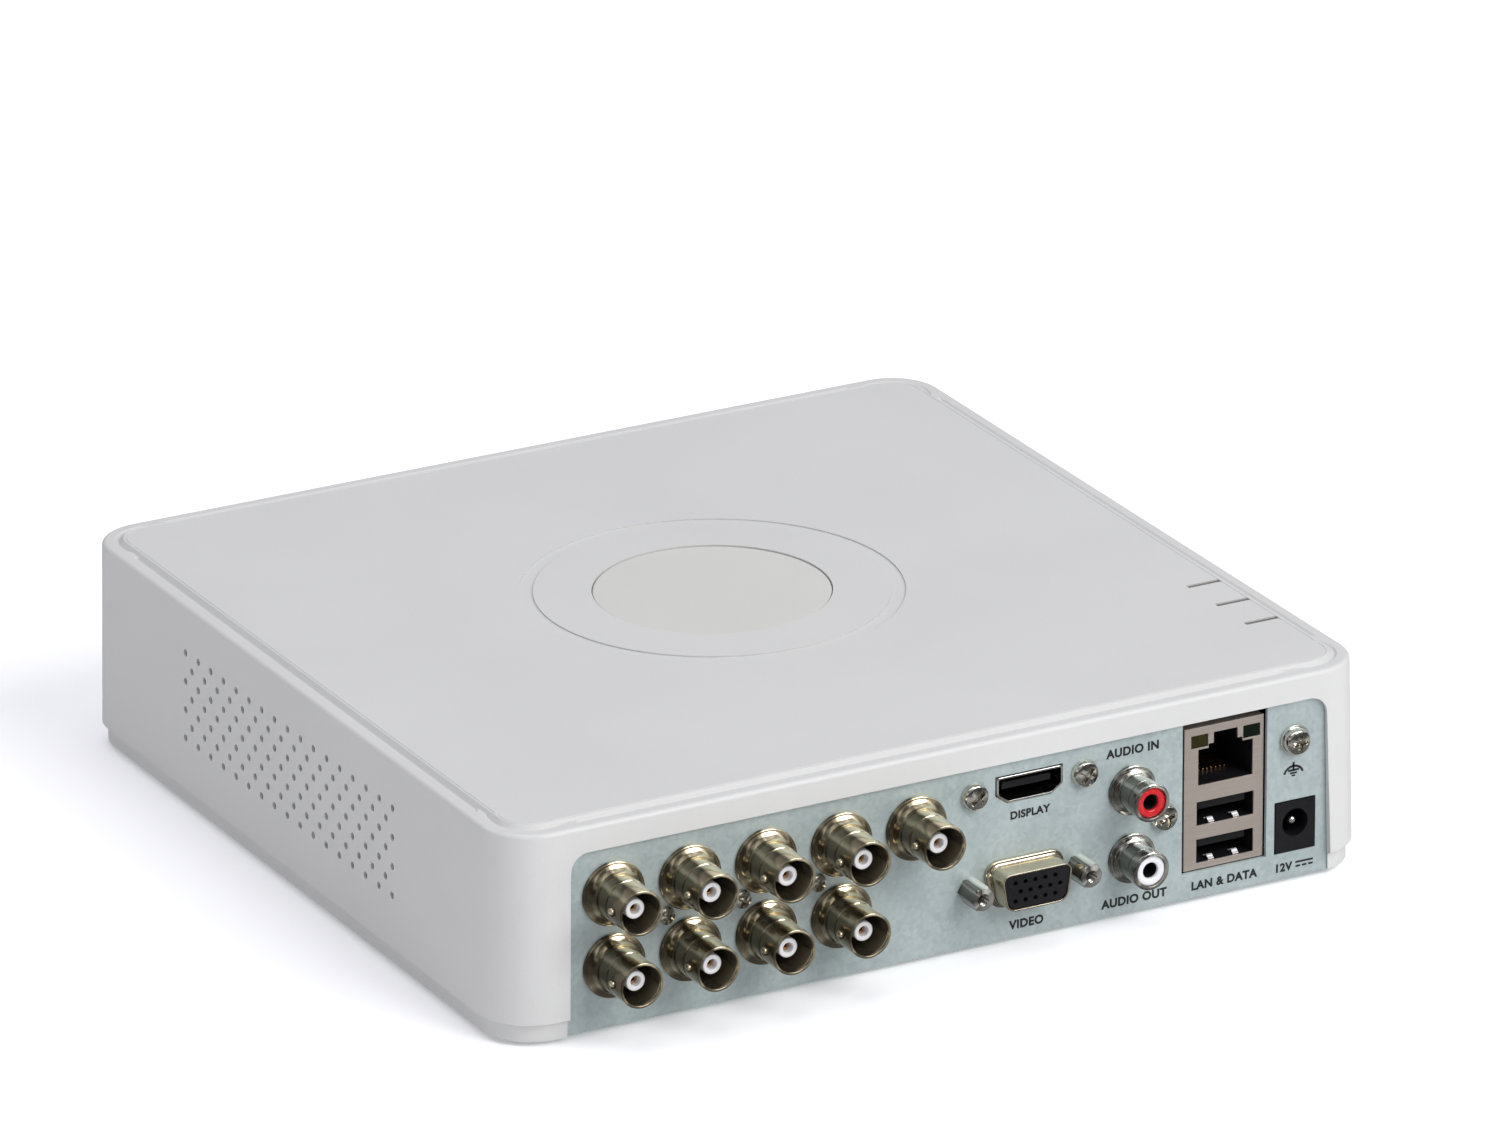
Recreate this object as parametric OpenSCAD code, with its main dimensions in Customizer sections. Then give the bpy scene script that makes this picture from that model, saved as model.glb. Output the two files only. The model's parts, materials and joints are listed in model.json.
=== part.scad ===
// Compact eight-channel video recorder with its cover, base, main board, hard drive and fan.
// +Z is up, the front faces -Y and the socket panel faces +Y. The origin is on the
// resting plane, under the middle of the whole box. Lengths are in millimetres.
// On the socket panel, u runs to the right as seen from behind (u = -x), and h is the
// height above the underside of the base sheet.

/* [Case] */
// Width of the case at its widest
case_w = 200; // [198:1:206]
// Depth of the case, front to rear
case_d = 194; // [193:1:200]
// Height from the base sheet's underside to the raised top face
case_h = 45; // [45:0.5:48]
// Radius of the upright corners, at the widest
corner_r = 12; // [11:0.5:13]
// Thickness of the cover's walls and roof
wall = 2.2; // [2:0.1:2.4]
// How far each side leans in from bottom to top
side_lean = 0.9; // [0.6:0.1:1]
// Height of the plain skirt along the bottom
skirt_h = 3.4; // [2.5:0.1:4]
// How far the skirt is set back under the sides
skirt_in = 1.2; // [0.8:0.1:1.2]
// How far the rubber feet stand below the base sheet
foot_drop = 1; // [0.8:0.1:3]

/* [Top face] */
// Roundness of the cover's upper edge
edge_r = 1; // [0.6:0.1:1.1]
// Distance from the cover's upper edge to the raised top face
ledge_in = 4.5; // [4:0.1:5]
// Height of the raised top face above the ledge round it
ledge_drop = 0.55; // [0.4:0.05:0.7]
// Width of the groove at the foot of the raised top face
foot_groove_w = 0.9; // [0.6:0.05:1]
// Depth of that groove
foot_groove_deep = 0.35; // [0.2:0.05:0.5]
// Outer radius of the shallow ring round the badge
ring_r = 40.1; // [36:0.1:44]
// Width of that ring
ring_w = 3; // [2:0.1:4]
// Depth of that ring
ring_deep = 0.3; // [0.2:0.05:0.5]
// Radius of the round badge
badge_r = 24.8; // [20:0.1:28]
// Distance of the badge's centre in front of the case's centre
badge_ahead = 2.5; // [0:0.1:6]
// Distance of the light slots' centres from the case's centre line
light_x = 90.3; // [88:0.1:90.5]
// Distance of the middle light slot behind the case's centre
light_y = 55.8; // [50:0.1:58]
// Spacing of the three light slots
light_pitch = 11.7; // [8:0.1:13]
// Length of each light slot
light_l = 7.8; // [6:0.1:8]
// Width of each light slot
light_w = 1.5; // [1.2:0.1:2]

/* [Side vents] */
// Radius of one vent hole
vent_r = 0.8; // [0.5:0.05:1.1]
// Columns of holes along each side
vent_cols = 17; // [9:2:17]
// Full rows of holes
vent_rows = 4; // [2:1:4]
// Spacing of the columns
vent_pitch = 5.93; // [4:0.01:5.93]
// Spacing of the full rows
vent_rise = 6.3; // [4:0.1:6.5]
// Height of the middle of the vent field
vent_h = 24.9; // [22:0.1:26]

/* [Rear panel] */
// Thickness of the steel sheet of the base and panel
sheet = 0.8; // [0.6:0.1:1]
// How far the panel sits in from the cover's rear face
panel_in = 1.8; // [1.6:0.1:2]
// Left end of the cover's rear opening at the bottom
opening_left = -85.5; // [-86:0.1:-85]
// Right end of the cover's rear opening at the bottom
opening_right = 90; // [89.6:0.1:90]
// How far the opening's sides lean in
opening_lean = 1; // [0:0.1:1.5]
// Height of the opening
opening_h = 38.9; // [38:0.1:39.5]
// Radius of the opening's upper corners
opening_r = 4; // [2:0.5:6]
// Height of the steel panel
panel_h = 41; // [40:0.1:41.4]

/* [Camera sockets] */
// Place of the first socket column
bnc_u = -74.7; // [-75.5:0.1:-74]
// Spacing of the socket columns
bnc_pitch = 17.13; // [16.5:0.01:17.3]
// Height of the lower row
bnc_low_h = 13.2; // [13:0.1:13.6]
// Height of the upper row
bnc_high_h = 28.7; // [28.3:0.1:29]
// How far the sockets stand out of the panel
bnc_out = 12.3; // [11:0.1:14]
// Outer radius of a socket's barrel
bnc_r = 4.8; // [4.7:0.05:4.85]
// Bore of a socket's barrel
bnc_bore_r = 4.1; // [4:0.05:4.2]
// Radius of a socket's flange
bnc_flange_r = 6.9; // [6:0.1:7]

/* [Display sockets] */
// Place of the D-shaped monitor socket
vga_u = 18.6; // [18.4:0.1:18.8]
// Height of the D-shaped monitor socket
vga_h = 12.6; // [12.4:0.1:13]
// Spacing of its two jackscrews
jack_pitch = 24.99; // [24.9:0.01:25.1]
// Radius of the thread in a jackscrew
jack_bore_r = 1.25; // [1.1:0.05:1.4]
// Length of a jackscrew outside the panel
jack_out = 6; // [5:0.1:7]
// Place of the digital display socket
display_u = 19.9; // [19.6:0.1:20.2]
// Height of the digital display socket
display_h = 32.8; // [32.5:0.1:33]
// Width of its shell
display_w = 15.2; // [15:0.1:15.4]
// Height of its shell from bottom to top
display_tall = 5.7; // [5.6:0.1:5.9]

/* [Audio sockets] */
// Place of the two audio sockets
audio_u = 43.7; // [43.4:0.1:44]
// Height of the audio output
audio_low_h = 12; // [11.8:0.1:12.3]
// Height of the audio input
audio_high_h = 26.9; // [26.6:0.1:27.2]
// How far they stand out of the panel
audio_out = 8.5; // [7:0.1:9]
// Outer radius of their metal sleeves
audio_r = 4.15; // [4:0.05:4.3]
// Radius of the hole for the plug's pin
audio_pin_r = 1.7; // [1.65:0.05:1.9]

/* [Network and data sockets] */
// Left side of the shield
shield_left = 56.5; // [56.3:0.1:56.7]
// Right side of the shield
shield_right = 75.1; // [74.9:0.1:75.3]
// Top of the shield
shield_top = 36.9; // [36.7:0.1:37.1]
// How far the shield's face is behind the panel's face
shield_in = 0.8; // [0.5:0.1:1.2]
// Width of the network socket
lan_w = 12.8; // [11.8:0.1:13.2]
// Width of a data socket
usb_w = 13.4; // [13:0.1:13.6]
// Height of a data socket from bottom to top
usb_tall = 5.2; // [5:0.1:5.4]

/* [Power and ground] */
// Place of the power jack's hole
power_u = 82.2; // [82:0.1:82.4]
// Height of the power jack's hole
power_h = 12; // [11.8:0.1:12.2]
// Radius of that hole
power_hole_r = 3; // [2.8:0.05:3.2]
// Place of the ground screw
ground_u = 81.8; // [81.6:0.1:82]
// Height of the ground screw
ground_h = 30.3; // [30:0.1:30.6]
// Radius of the ground screw's thread
ground_r = 2; // [1.5:0.1:2]

/* [Inside] */
// Height of the main board's underside
board_h = 4.2; // [4.2:0.1:5]
// Thickness of the main board
board_t = 1.6; // [1.6:0.1:1.6]
// Length of the hard drive
drive_l = 147; // [146.5:0.1:147]
// Width of the hard drive
drive_w = 101.6; // [101.4:0.1:101.8]
// Height of the hard drive
drive_tall = 26.1; // [25.9:0.1:26.1]
// Radius of a platter
platter_r = 47.5; // [40:0.5:47.5]
// Radius of the pins that the platters and the arm turn on
pin_r = 3; // [2.5:0.1:3]
// Running clearance of everything that turns
running = 0.05; // [0.02:0.01:0.1]
// Side of the square fan
fan_size = 40; // [38:1:40]
// Thickness of the fan
fan_t = 10; // [10:0.5:10.5]
// Number of fan blades
fan_blades = 7; // [5:1:9]

/* [Hidden] */
$fn = 64;
// Overshoot of cuts past a face
over = 0.5;
// Gap left between pieces of different bodies
gap = 0.3;

base_z = foot_drop;
opening_u = [opening_left, opening_right];
bnc_h = [bnc_low_h, bnc_high_h];
vga_at = [vga_u, vga_h];
display_at = [display_u, display_h];
display_size = [display_w, display_tall];
audio_h = [audio_low_h, audio_high_h];
shield_u = [shield_left, shield_right];
usb_size = [usb_w, usb_tall];
power_at = [power_u, power_h];
ground_at = [ground_u, ground_h];
drive_size = [drive_l, drive_w, drive_tall];
case_y = -(bnc_out - panel_in) / 2;
rear_y = case_y + case_d / 2;
panel_y = rear_y - panel_in;
inner_w = case_w - 2 * (side_lean + wall);
inner_d = case_d - 2 * (side_lean + wall);
inner_r = corner_r - side_lean - wall;
roof_h = case_h - wall;
ledge_h = case_h - ledge_drop;
wall_top = ledge_h - edge_r;
slope_w = 1;
line_in = 0.5;
line_half = 0.15;
badge_y = case_y - badge_ahead;
panel_u = [opening_u[0] - 2, opening_u[1] + 0.6];
board_top = board_h + board_t;
shield_h = [board_top, shield_top];
board_w = case_w - 14;
board_rear_w = 175;
board_y = case_y + 16.5;
board_d = rear_y - side_lean - wall - gap - board_y;
bnc_columns = 5;
bnc_places = [for (i = [0 : bnc_columns - 1]) [bnc_u + i * bnc_pitch, bnc_h[1]],
              for (i = [0 : bnc_columns - 2]) [bnc_u + i * bnc_pitch, bnc_h[0]]];
bnc_housing_deep = 15;
mid_row_h = (bnc_h[0] + bnc_h[1]) / 2;
display_screw_u = 12.7;
bnc_screw_along = 11.65;
bnc_screw_h = mid_row_h + 0.5;
panel_screws_at = [[bnc_u + bnc_screw_along, bnc_screw_h],
                   [bnc_u + bnc_screw_along + bnc_pitch, bnc_screw_h],
                   [bnc_u + bnc_screw_along + 2 * bnc_pitch, bnc_screw_h],
                   [display_at[0] - display_screw_u, display_at[1]],
                   [display_at[0] + display_screw_u, display_at[1]],
                   [audio_u + 7.5, 19.5]];
screw_r = 1.4;
screw_head_r = 3;
screw_head_tall = 2;
bnc_screw_head_r = 2;
bnc_screw_head_tall = 1.6;
post_r = 3.6;
post_bore_r = 1.45;
posts_at = [[88, -84], [-88, -84], [90, 11], [-90, 11]];
post_boss_r = 4.6;
post_boss_h = 2.2;
feet_at = [[80, -78], [-80, -78], [80, 78], [-80, 78]];
foot_r = 7;
foot_peg_r = 2;
standoffs_at = [[-88, 30], [88, 30], [-88, 73], [88, 86]];
standoff_r = 2.6;
drive_at = [-71, case_y - 88];
drive_h = 3.8;
// Depth of the round recess that holds the badge
badge_recess = 1.1;
badge_t = 0.9;
// Height of the lips folded up along the floor's front and sides
lip_h = 8;
// Countersink under each case screw
sink_r = 3.1;
screw_hole_r = 1.7;
sink_deep = 1.5;
// Slots through the floor under the main board
floor_slots = 12;
floor_slot_w = 2.4;
floor_slot_l = 16;
floor_slot_pitch = 8;
floor_slot_row = 24;
// Heat sink on the processor
chip_t = 1.9;
sink_side = 32;
fin_t = 1.3;
fin_h = 9;
fin_pitch = 3.8;
fin_count = 9;
// Depth of a camera socket's neck behind the panel
bnc_neck = 5;
usb_spring_pitch = 2.3;
lan_spring_pitch = 1.02;
// Bend radius and half thickness of the drive's flat leads
lead_bend = 3;
lead_half_t = 0.8;
lead_tall = 7;
// Bore and outside of the audio sockets' spring tubes, wider than the plug's hole
audio_spring_bore = 2;
audio_spring_r = 2.5;
drive_holes_x = [41.28, 85.73];
drive_hole_pitch = 95.25;
drive_boss_r = 5;
platter_at = [95, 50.8];
arm_at = [27, 22];
arm_park = 66;
platter_t = 1.27;
platter_z = [11.6, 15.4];
lid_t = 0.8;
fan_x = 84;
fan_y = case_y - 16;
fan_h = 1.2;
fan_hole_r = fan_size / 2 - 1.4;
fan_hub_r = 9.5;
blade_tilt = 35;
blade_w = 7.2;
cable_h = 7;
link_h = [32.4, 35.2];
key_steps = [[8, 32.9], [5.6, 35.2]];
lan_h = [24.1, 32];
lan_u = (shield_u[0] + shield_u[1]) / 2 + 0.4;
usb_h = [7.1, 15.3];
socket_deep = 17;

// Places children on the socket panel: x to the right seen from behind, y up, z outwards.
module at_panel(u, h, out = 0) {
    translate([-u, panel_y + out, base_z + h]) rotate([90, 0, 180]) children();
}

// Places children over a point of the case, h above the base sheet's underside.
module at_case(x, y, h = 0) {
    translate([x, case_y + y, base_z + h]) children();
}

// Places children in the hard drive's own corner frame.
module in_drive() {
    translate([drive_at[0], drive_at[1], base_z + drive_h]) children();
}

// A plate with upright rounded corners, centred in x and y.
module round_plate(w, d, r, h) {
    translate([-w / 2 + r, -d / 2, 0]) cube([w - 2 * r, d, h]);
    translate([-w / 2, -d / 2 + r, 0]) cube([w, d - 2 * r, h]);
    for (sx = [-1, 1], sy = [-1, 1])
        translate([sx * (w / 2 - r), sy * (d / 2 - r), 0]) cylinder(r = r, h = h);
}

// A box from corner a to corner b on the panel, as [u, h, out].
module panel_box(a, b) {
    at_panel(a[0], a[1], a[2]) cube([b[0] - a[0], b[1] - a[1], b[2] - a[2]]);
}

// A flat cross-shaped recess for a screwdriver, cut down from z = 0.
module cross_recess(size, deep) {
    for (a = [0, 90])
        rotate([0, 0, a]) translate([-size / 2, -size / 8, -deep]) cube([size, size / 4, deep + over]);
}

// A domed screw: its head's underside is at z = 0 and its shank runs down.
module pan_screw(head_r, head_h, shank_r, length) {
    dome_r = (head_r * head_r + head_h * head_h) / (2 * head_h) + 0.6;
    difference() {
        intersection() {
            cylinder(r = head_r, h = head_h);
            translate([0, 0, head_h - dome_r]) sphere(r = dome_r);
        }
        translate([0, 0, head_h]) cross_recess(head_r * 1.15, head_h * 0.55);
    }
    translate([0, 0, -length]) cylinder(r = shank_r, h = length);
}

// A ring of the given radii and length along z.
module tube(outer, inner, length) {
    difference() {
        cylinder(r = outer, h = length);
        translate([0, 0, -over]) cylinder(r = inner, h = length + 2 * over);
    }
}

// ---- cover ----

// Half of the cover's upright section: x is the distance out from a corner's centre.
// A groove runs along the foot of the raised top face, and a fine line just inside its edge.
module cover_section() {
    top_r = corner_r - side_lean;
    face_r = top_r - ledge_in;
    foot_r = face_r + slope_w;
    groove_h = ledge_h - foot_groove_deep;
    line_r = face_r - line_in;
    polygon([[0, 0], [corner_r - skirt_in, 0], [corner_r - skirt_in, skirt_h],
             [corner_r, skirt_h + 0.7], [top_r, wall_top], [top_r - edge_r, ledge_h],
             [foot_r + foot_groove_w, ledge_h], [foot_r + foot_groove_w / 2, groove_h],
             [foot_r, groove_h], [face_r, case_h], [line_r + line_half, case_h],
             [line_r, case_h - line_half], [line_r - line_half, case_h], [0, case_h]]);
    translate([top_r - edge_r, wall_top]) circle(r = edge_r);
}

// The whole section across the case, from its half.
module full_section(half) {
    translate([half, 0]) cover_section();
    mirror([1, 0]) translate([half, 0]) cover_section();
    translate([-half, 0]) square([2 * half, case_h]);
}

module cover_block() {
    half_x = case_w / 2 - corner_r;
    half_y = case_d / 2 - corner_r;
    for (sx = [-1, 1], sy = [-1, 1])
        translate([sx * half_x, sy * half_y, 0]) rotate_extrude() cover_section();
    rotate([90, 0, 90]) linear_extrude(2 * half_x, center = true) full_section(half_y);
    rotate([90, 0, 0]) linear_extrude(2 * half_y, center = true) full_section(half_x);
}

// The arch-shaped opening for the socket panel, cut through the rear wall.
module rear_opening() {
    left = opening_u[0] + opening_lean;
    right = opening_u[1] - opening_lean;
    round_h = opening_h - opening_r;
    at_panel(0, 0, gap - over) linear_extrude(panel_in + 2 * over) {
        polygon([[opening_u[0], -over], [opening_u[1], -over], [right, round_h],
                 [right - opening_r, opening_h], [left + opening_r, opening_h], [left, round_h]]);
        translate([right - opening_r, round_h]) circle(r = opening_r);
        translate([left + opening_r, round_h]) circle(r = opening_r);
    }
}

// The vent holes through both side walls, in full rows with half-pitch rows between.
module vent_holes() {
    full = [for (c = [0 : vent_cols - 1], r = [0 : vent_rows - 1]) [c, r]];
    half = [for (c = [0 : vent_cols - 2], r = [0 : vent_rows - 2]) [c + 0.5, r + 0.5]];
    for (p = concat(full, half))
        at_case(0, (p[0] - (vent_cols - 1) / 2) * vent_pitch,
                vent_h + (p[1] - (vent_rows - 1) / 2) * vent_rise)
            rotate([0, 90, 0]) cylinder(r = vent_r, h = case_w + 2 * over, center = true);
}

module light_slots(shrink, from_h, to_h) {
    for (i = [-1 : 1])
        at_case(-light_x, light_y + i * light_pitch, from_h)
            translate([-light_l / 2 + shrink, -light_w / 2 + shrink, 0])
                cube([light_l - 2 * shrink, light_w - 2 * shrink, to_h - from_h]);
}

module top_cover() {
    color("white") {
        difference() {
            at_case(0, 0) cover_block();
            at_case(0, 0, -over) round_plate(inner_w, inner_d, inner_r, roof_h + over);
            panel_box([panel_u[0] - gap, -over, -10], [panel_u[1] + gap, panel_h + gap, gap / 2]);
            rear_opening();
            vent_holes();
            light_slots(0, roof_h - over, case_h + over);
            translate([0, badge_y, base_z + case_h - ring_deep])
                tube(ring_r, ring_r - ring_w, ring_deep + over);
            translate([0, badge_y, base_z + case_h - badge_recess]) cylinder(r = badge_r + 0.2, h = 2);
        }
        for (p = posts_at)
            at_case(p[0], p[1], post_boss_h + gap) tube(post_r, post_bore_r, roof_h - post_boss_h - gap);
    }
}

module badge_disc() {
    color("ivory") translate([0, badge_y, base_z + case_h - badge_recess])
        cylinder(r = badge_r, h = badge_t);
}

module light_guides() {
    color("dimgray") light_slots(0.05, board_top + 3.2, case_h - 0.25);
}

// ---- base ----

// The steel sheet before its holes are cut: floor, panel, side lips and raised bosses.
module base_sheet() {
    floor_w = inner_w - 2 * gap;
    floor_d = inner_d - 2 * gap;
    at_case(0, 0) round_plate(floor_w, floor_d, inner_r - gap, sheet);
    panel_box([panel_u[0], 0, -10], [panel_u[1], sheet, 0]);
    panel_box([panel_u[0], 0, -sheet], [panel_u[1], panel_h, 0]);
    for (side = [-1, 1])
        at_case(side * (floor_w - sheet) / 2 - sheet / 2, -floor_d / 2 + 12, 0)
            cube([sheet, floor_d - 24, lip_h]);
    at_case(-floor_w / 2 + 12, -floor_d / 2, 0) cube([floor_w - 24, sheet, lip_h]);
    for (p = posts_at)
        at_case(p[0], p[1]) cylinder(r = post_boss_r, h = post_boss_h);
    for (p = drive_screws_at())
        translate([p[0], p[1], base_z]) cylinder(r = drive_boss_r, h = drive_h);
    at_panel(ground_at[0], ground_at[1], -sheet - 3) cylinder(r = 3.4, h = 3);
}

// The four holes under the hard drive.
function drive_screws_at() = [for (x = drive_holes_x, side = [-1, 1])
    [drive_at[0] + x, drive_at[1] + drive_size[1] / 2 + side * drive_hole_pitch / 2]];

// The D-shaped outline of the monitor socket, w across the top, centred, with cut corners.
module d_outline(w, h) {
    slant = h * 0.16;
    cut = 1.2;
    polygon([[-w / 2 + slant + cut, -h / 2], [w / 2 - slant - cut, -h / 2],
             [w / 2 - slant, -h / 2 + cut], [w / 2, h / 2 - cut], [w / 2 - cut, h / 2],
             [-w / 2 + cut, h / 2], [-w / 2, h / 2 - cut], [-w / 2 + slant, -h / 2 + cut]]);
}

// The outline of the digital display socket: a box with its lower corners cut.
module display_outline(w, h) {
    cut = h * 0.32;
    polygon([[-w / 2 + cut * 1.4, -h / 2], [w / 2 - cut * 1.4, -h / 2], [w / 2, -h / 2 + cut],
             [w / 2, h / 2], [-w / 2, h / 2], [-w / 2, -h / 2 + cut]]);
}

module panel_cuts() {
    deep = sheet + 2 * over;
    for (p = bnc_places)
        at_panel(p[0], p[1], -sheet - over) cylinder(r = bnc_r + 0.2, h = deep);
    for (h = audio_h)
        at_panel(audio_u, h, -sheet - over) cylinder(r = audio_r + 0.2, h = deep);
    for (p = panel_screws_at)
        at_panel(p[0], p[1], -sheet - over) cylinder(r = screw_r + 0.2, h = deep);
    for (side = [-1, 1])
        at_panel(vga_at[0] + side * jack_pitch / 2, vga_at[1], -sheet - over) cylinder(r = 1.7, h = deep);
    at_panel(vga_at[0], vga_at[1], -sheet - over) linear_extrude(deep) d_outline(17.2, 9);
    at_panel(display_at[0], display_at[1], -sheet - over)
        linear_extrude(deep) display_outline(display_size[0] + 0.4, display_size[1] + 0.4);
    panel_box([shield_u[0] - 0.9, shield_h[0] - 0.2, -sheet - over], [shield_u[1] + 0.4, 39.6, over]);
    panel_box([power_at[0] - 4.8, board_top - 0.2, -sheet - over], [power_at[0] + 4.9, 17, over]);
    at_panel(ground_at[0], ground_at[1], -sheet - 3 - over) cylinder(r = ground_r + running, h = 4 + over);
}

module floor_cuts() {
    for (p = feet_at)
        at_case(p[0], p[1], -over) cylinder(r = foot_peg_r + 0.1, h = sheet + 2 * over);
    for (p = posts_at) {
        at_case(p[0], p[1], -over) cylinder(r = screw_hole_r, h = post_boss_h + 2 * over);
        at_case(p[0], p[1], -0.01) cylinder(r1 = sink_r, r2 = screw_hole_r, h = sink_deep);
    }
    for (p = drive_screws_at()) {
        translate([p[0], p[1], base_z - over]) cylinder(r = 1.8, h = drive_h + 2 * over);
        translate([p[0], p[1], base_z - over]) cylinder(r = 3.6, h = 2.4 + over);
    }
    for (i = [0 : floor_slots - 1], row = [0, 1])
        at_case(-44 + i * floor_slot_pitch, 30 + row * floor_slot_row, -over)
            cube([floor_slot_w, floor_slot_l, sheet + 2 * over]);
}

module base_chassis() {
    color("lightsteelblue") difference() {
        base_sheet();
        panel_cuts();
        floor_cuts();
    }
}

module rubber_feet() {
    color("dimgray") for (p = feet_at)
        at_case(p[0], p[1]) {
            translate([0, 0, -foot_drop]) cylinder(r = foot_r, h = foot_drop);
            cylinder(r = foot_peg_r, h = sheet + 0.8);
        }
}

module case_screws() {
    color("silver") for (p = posts_at)
        at_case(p[0], p[1]) difference() {
            union() {
                cylinder(r1 = 3, r2 = post_bore_r - running, h = 1.5);
                cylinder(r = post_bore_r - running, h = 10);
            }
            mirror([0, 0, 1]) cross_recess(3, 0.9);
        }
}

module panel_screws() {
    color("silver") for (i = [0 : 5]) {
        small = i < 3;
        at_panel(panel_screws_at[i][0], panel_screws_at[i][1])
            pan_screw(small ? bnc_screw_head_r : screw_head_r,
                      small ? bnc_screw_head_tall : screw_head_tall, screw_r, 6);
    }
}

// ---- main board ----

module main_board() {
    color("darkgreen") difference() {
        union() {
            translate([-board_w / 2, board_y, base_z + board_h]) cube([board_w, board_d - 12, board_t]);
            translate([-board_rear_w / 2, board_y, base_z + board_h]) cube([board_rear_w, board_d, board_t]);
        }
        for (p = standoffs_at)
            at_case(p[0], p[1], board_h - over) cylinder(r = 1.6, h = board_t + 2 * over);
    }
}

module board_standoffs() {
    color("gold") for (p = standoffs_at)
        at_case(p[0], p[1], sheet) tube(standoff_r, 1.25, board_h - sheet);
}

module board_screws() {
    color("silver") for (p = standoffs_at)
        at_case(p[0], p[1], board_top) pan_screw(2.6, 1.7, 1.2, 4.5);
}

// Black plastic sockets on the board: two for the drive, one for the fan, and the cell's holder.
module board_sockets() {
    color("black") {
        at_case(-84, 18.7, board_top) cube([6, 6, 9]);
        at_case(-92, 18.7, board_top) cube([7, 6, 9]);
        at_case(82, 18, board_top) cube([6, 4, 5]);
        at_case(-44, 40, board_top) difference() {
            cylinder(r = 11.5, h = 3);
            translate([0, 0, 1]) cylinder(r = 10.1, h = 3);
            translate([-over - 12, -5, 1]) cube([12, 10, 3]);
        }
    }
}

module processor() {
    color("dimgray") at_case(-9, 32, board_top) cube([23, 23, chip_t]);
}

module heat_sink() {
    color("gray") at_case(-13.5, 27.5, board_top + chip_t) {
        cube([sink_side, sink_side, 2]);
        for (i = [0 : fin_count - 1])
            translate([i * fin_pitch, 0, 1.9]) cube([fin_t, sink_side, fin_h]);
    }
}

module support_chips() {
    color("black") {
        for (i = [0, 1], side = [0, 1])
            at_case(-30 + side * 60, 28 + i * 15, board_top) cube([8, 11, 1.1]);
        for (x = [44, 64])
            at_case(x, 48, board_top) cube([14, 14, 1.3]);
        at_case(-62, 54, board_top) cube([9, 9, 1]);
    }
}

module capacitors() {
    color("silver") for (p = [[-70, 66], [-70, 56], [-58, 68], [24, 66], [50, 68], [66, 70]])
        at_case(p[0], p[1], board_top) {
            cylinder(r = 3.9, h = 0.8);
            translate([0, 0, 0.8]) cylinder(r = 3.2, h = 7);
        }
}

module coin_cell() {
    color("silver") at_case(-44, 40, board_top + 1.05) cylinder(r = 10, h = 3.2);
}

module buzzer() {
    color("black") at_case(-66, 34, board_top) tube(6, 1, 7.5);
}

module status_lights() {
    color("white") for (i = [-1 : 1])
        at_case(-light_x, light_y + i * light_pitch, board_top)
            translate([-1.6, -0.8, 0]) cube([3.2, 1.6, 1.4]);
}

// ---- camera sockets ----

// One bayonet socket: flange, stepped barrel, two bayonet lugs and a neck behind the panel.
module bnc_shell(i) {
    color("silver") at_panel(bnc_places[i - 1][0], bnc_places[i - 1][1]) {
        difference() {
            union() {
                cylinder(r = bnc_flange_r, h = 0.9);
                translate([0, 0, 0.9]) cylinder(r1 = bnc_flange_r - 0.2, r2 = bnc_flange_r - 1.2, h = 0.6);
                translate([0, 0, 1.5]) cylinder(r = bnc_r, h = bnc_out - 1.5);
                translate([0, 0, -bnc_neck]) cylinder(r = bnc_r - 0.1, h = bnc_neck);
                for (side = [-1, 1])
                    translate([side * (bnc_r - 0.4), 0, bnc_out - 3.6]) rotate([0, side * 90, 0])
                        cylinder(r = 0.95, h = 1.2);
            }
            translate([0, 0, -bnc_neck - over])
                cylinder(r = bnc_bore_r, h = bnc_out + bnc_neck + 2 * over);
        }
    }
}

// The white inner tube of each camera socket, on a collar that fills the bore's back end.
module bnc_insulators() {
    color("white") for (p = bnc_places)
        at_panel(p[0], p[1]) difference() {
            union() {
                translate([0, 0, -bnc_neck]) cylinder(r = bnc_bore_r - 0.05, h = bnc_neck + 1);
                cylinder(r = 2.1, h = bnc_out - 2.8);
            }
            translate([0, 0, -bnc_neck - over]) cylinder(r = 1.1, h = bnc_out + bnc_neck);
        }
}

module bnc_contacts() {
    color("gold") for (p = bnc_places)
        at_panel(p[0], p[1], -12) difference() {
            cylinder(r = 1.05, h = bnc_out + 7.6);
            translate([0, 0, 12]) cylinder(r = 0.6, h = bnc_out);
        }
}

// Plastic blocks behind the panel that hold the camera sockets on the board.
module bnc_housings() {
    half_col = bnc_pitch / 2 - 0.1;
    color("black") difference() {
        union() {
            panel_box([bnc_u - half_col, board_top, -sheet - bnc_housing_deep],
                      [bnc_u + 3 * bnc_pitch + half_col, bnc_h[1] + 8, -sheet]);
            panel_box([bnc_u + 4 * bnc_pitch - half_col + 0.2, board_top, -sheet - bnc_housing_deep],
                      [bnc_u + 4 * bnc_pitch + 7, bnc_h[1] + 8, -sheet]);
        }
        for (p = bnc_places) {
            at_panel(p[0], p[1], -5.2) cylinder(r = bnc_r, h = 6);
            at_panel(p[0], p[1], -sheet - bnc_housing_deep - over) cylinder(r = 1.1, h = 20);
        }
        for (i = [0 : 2])
            at_panel(panel_screws_at[i][0], panel_screws_at[i][1], -8) cylinder(r = screw_r, h = 10);
    }
}

// ---- display sockets ----

module display_shell() {
    w = display_size[0];
    h = display_size[1];
    color("silver") at_panel(display_at[0], display_at[1], -11) difference() {
        linear_extrude(11.4) display_outline(w, h);
        translate([0, 0, 0.5]) linear_extrude(12) display_outline(w - 0.8, h - 0.8);
    }
}

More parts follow.
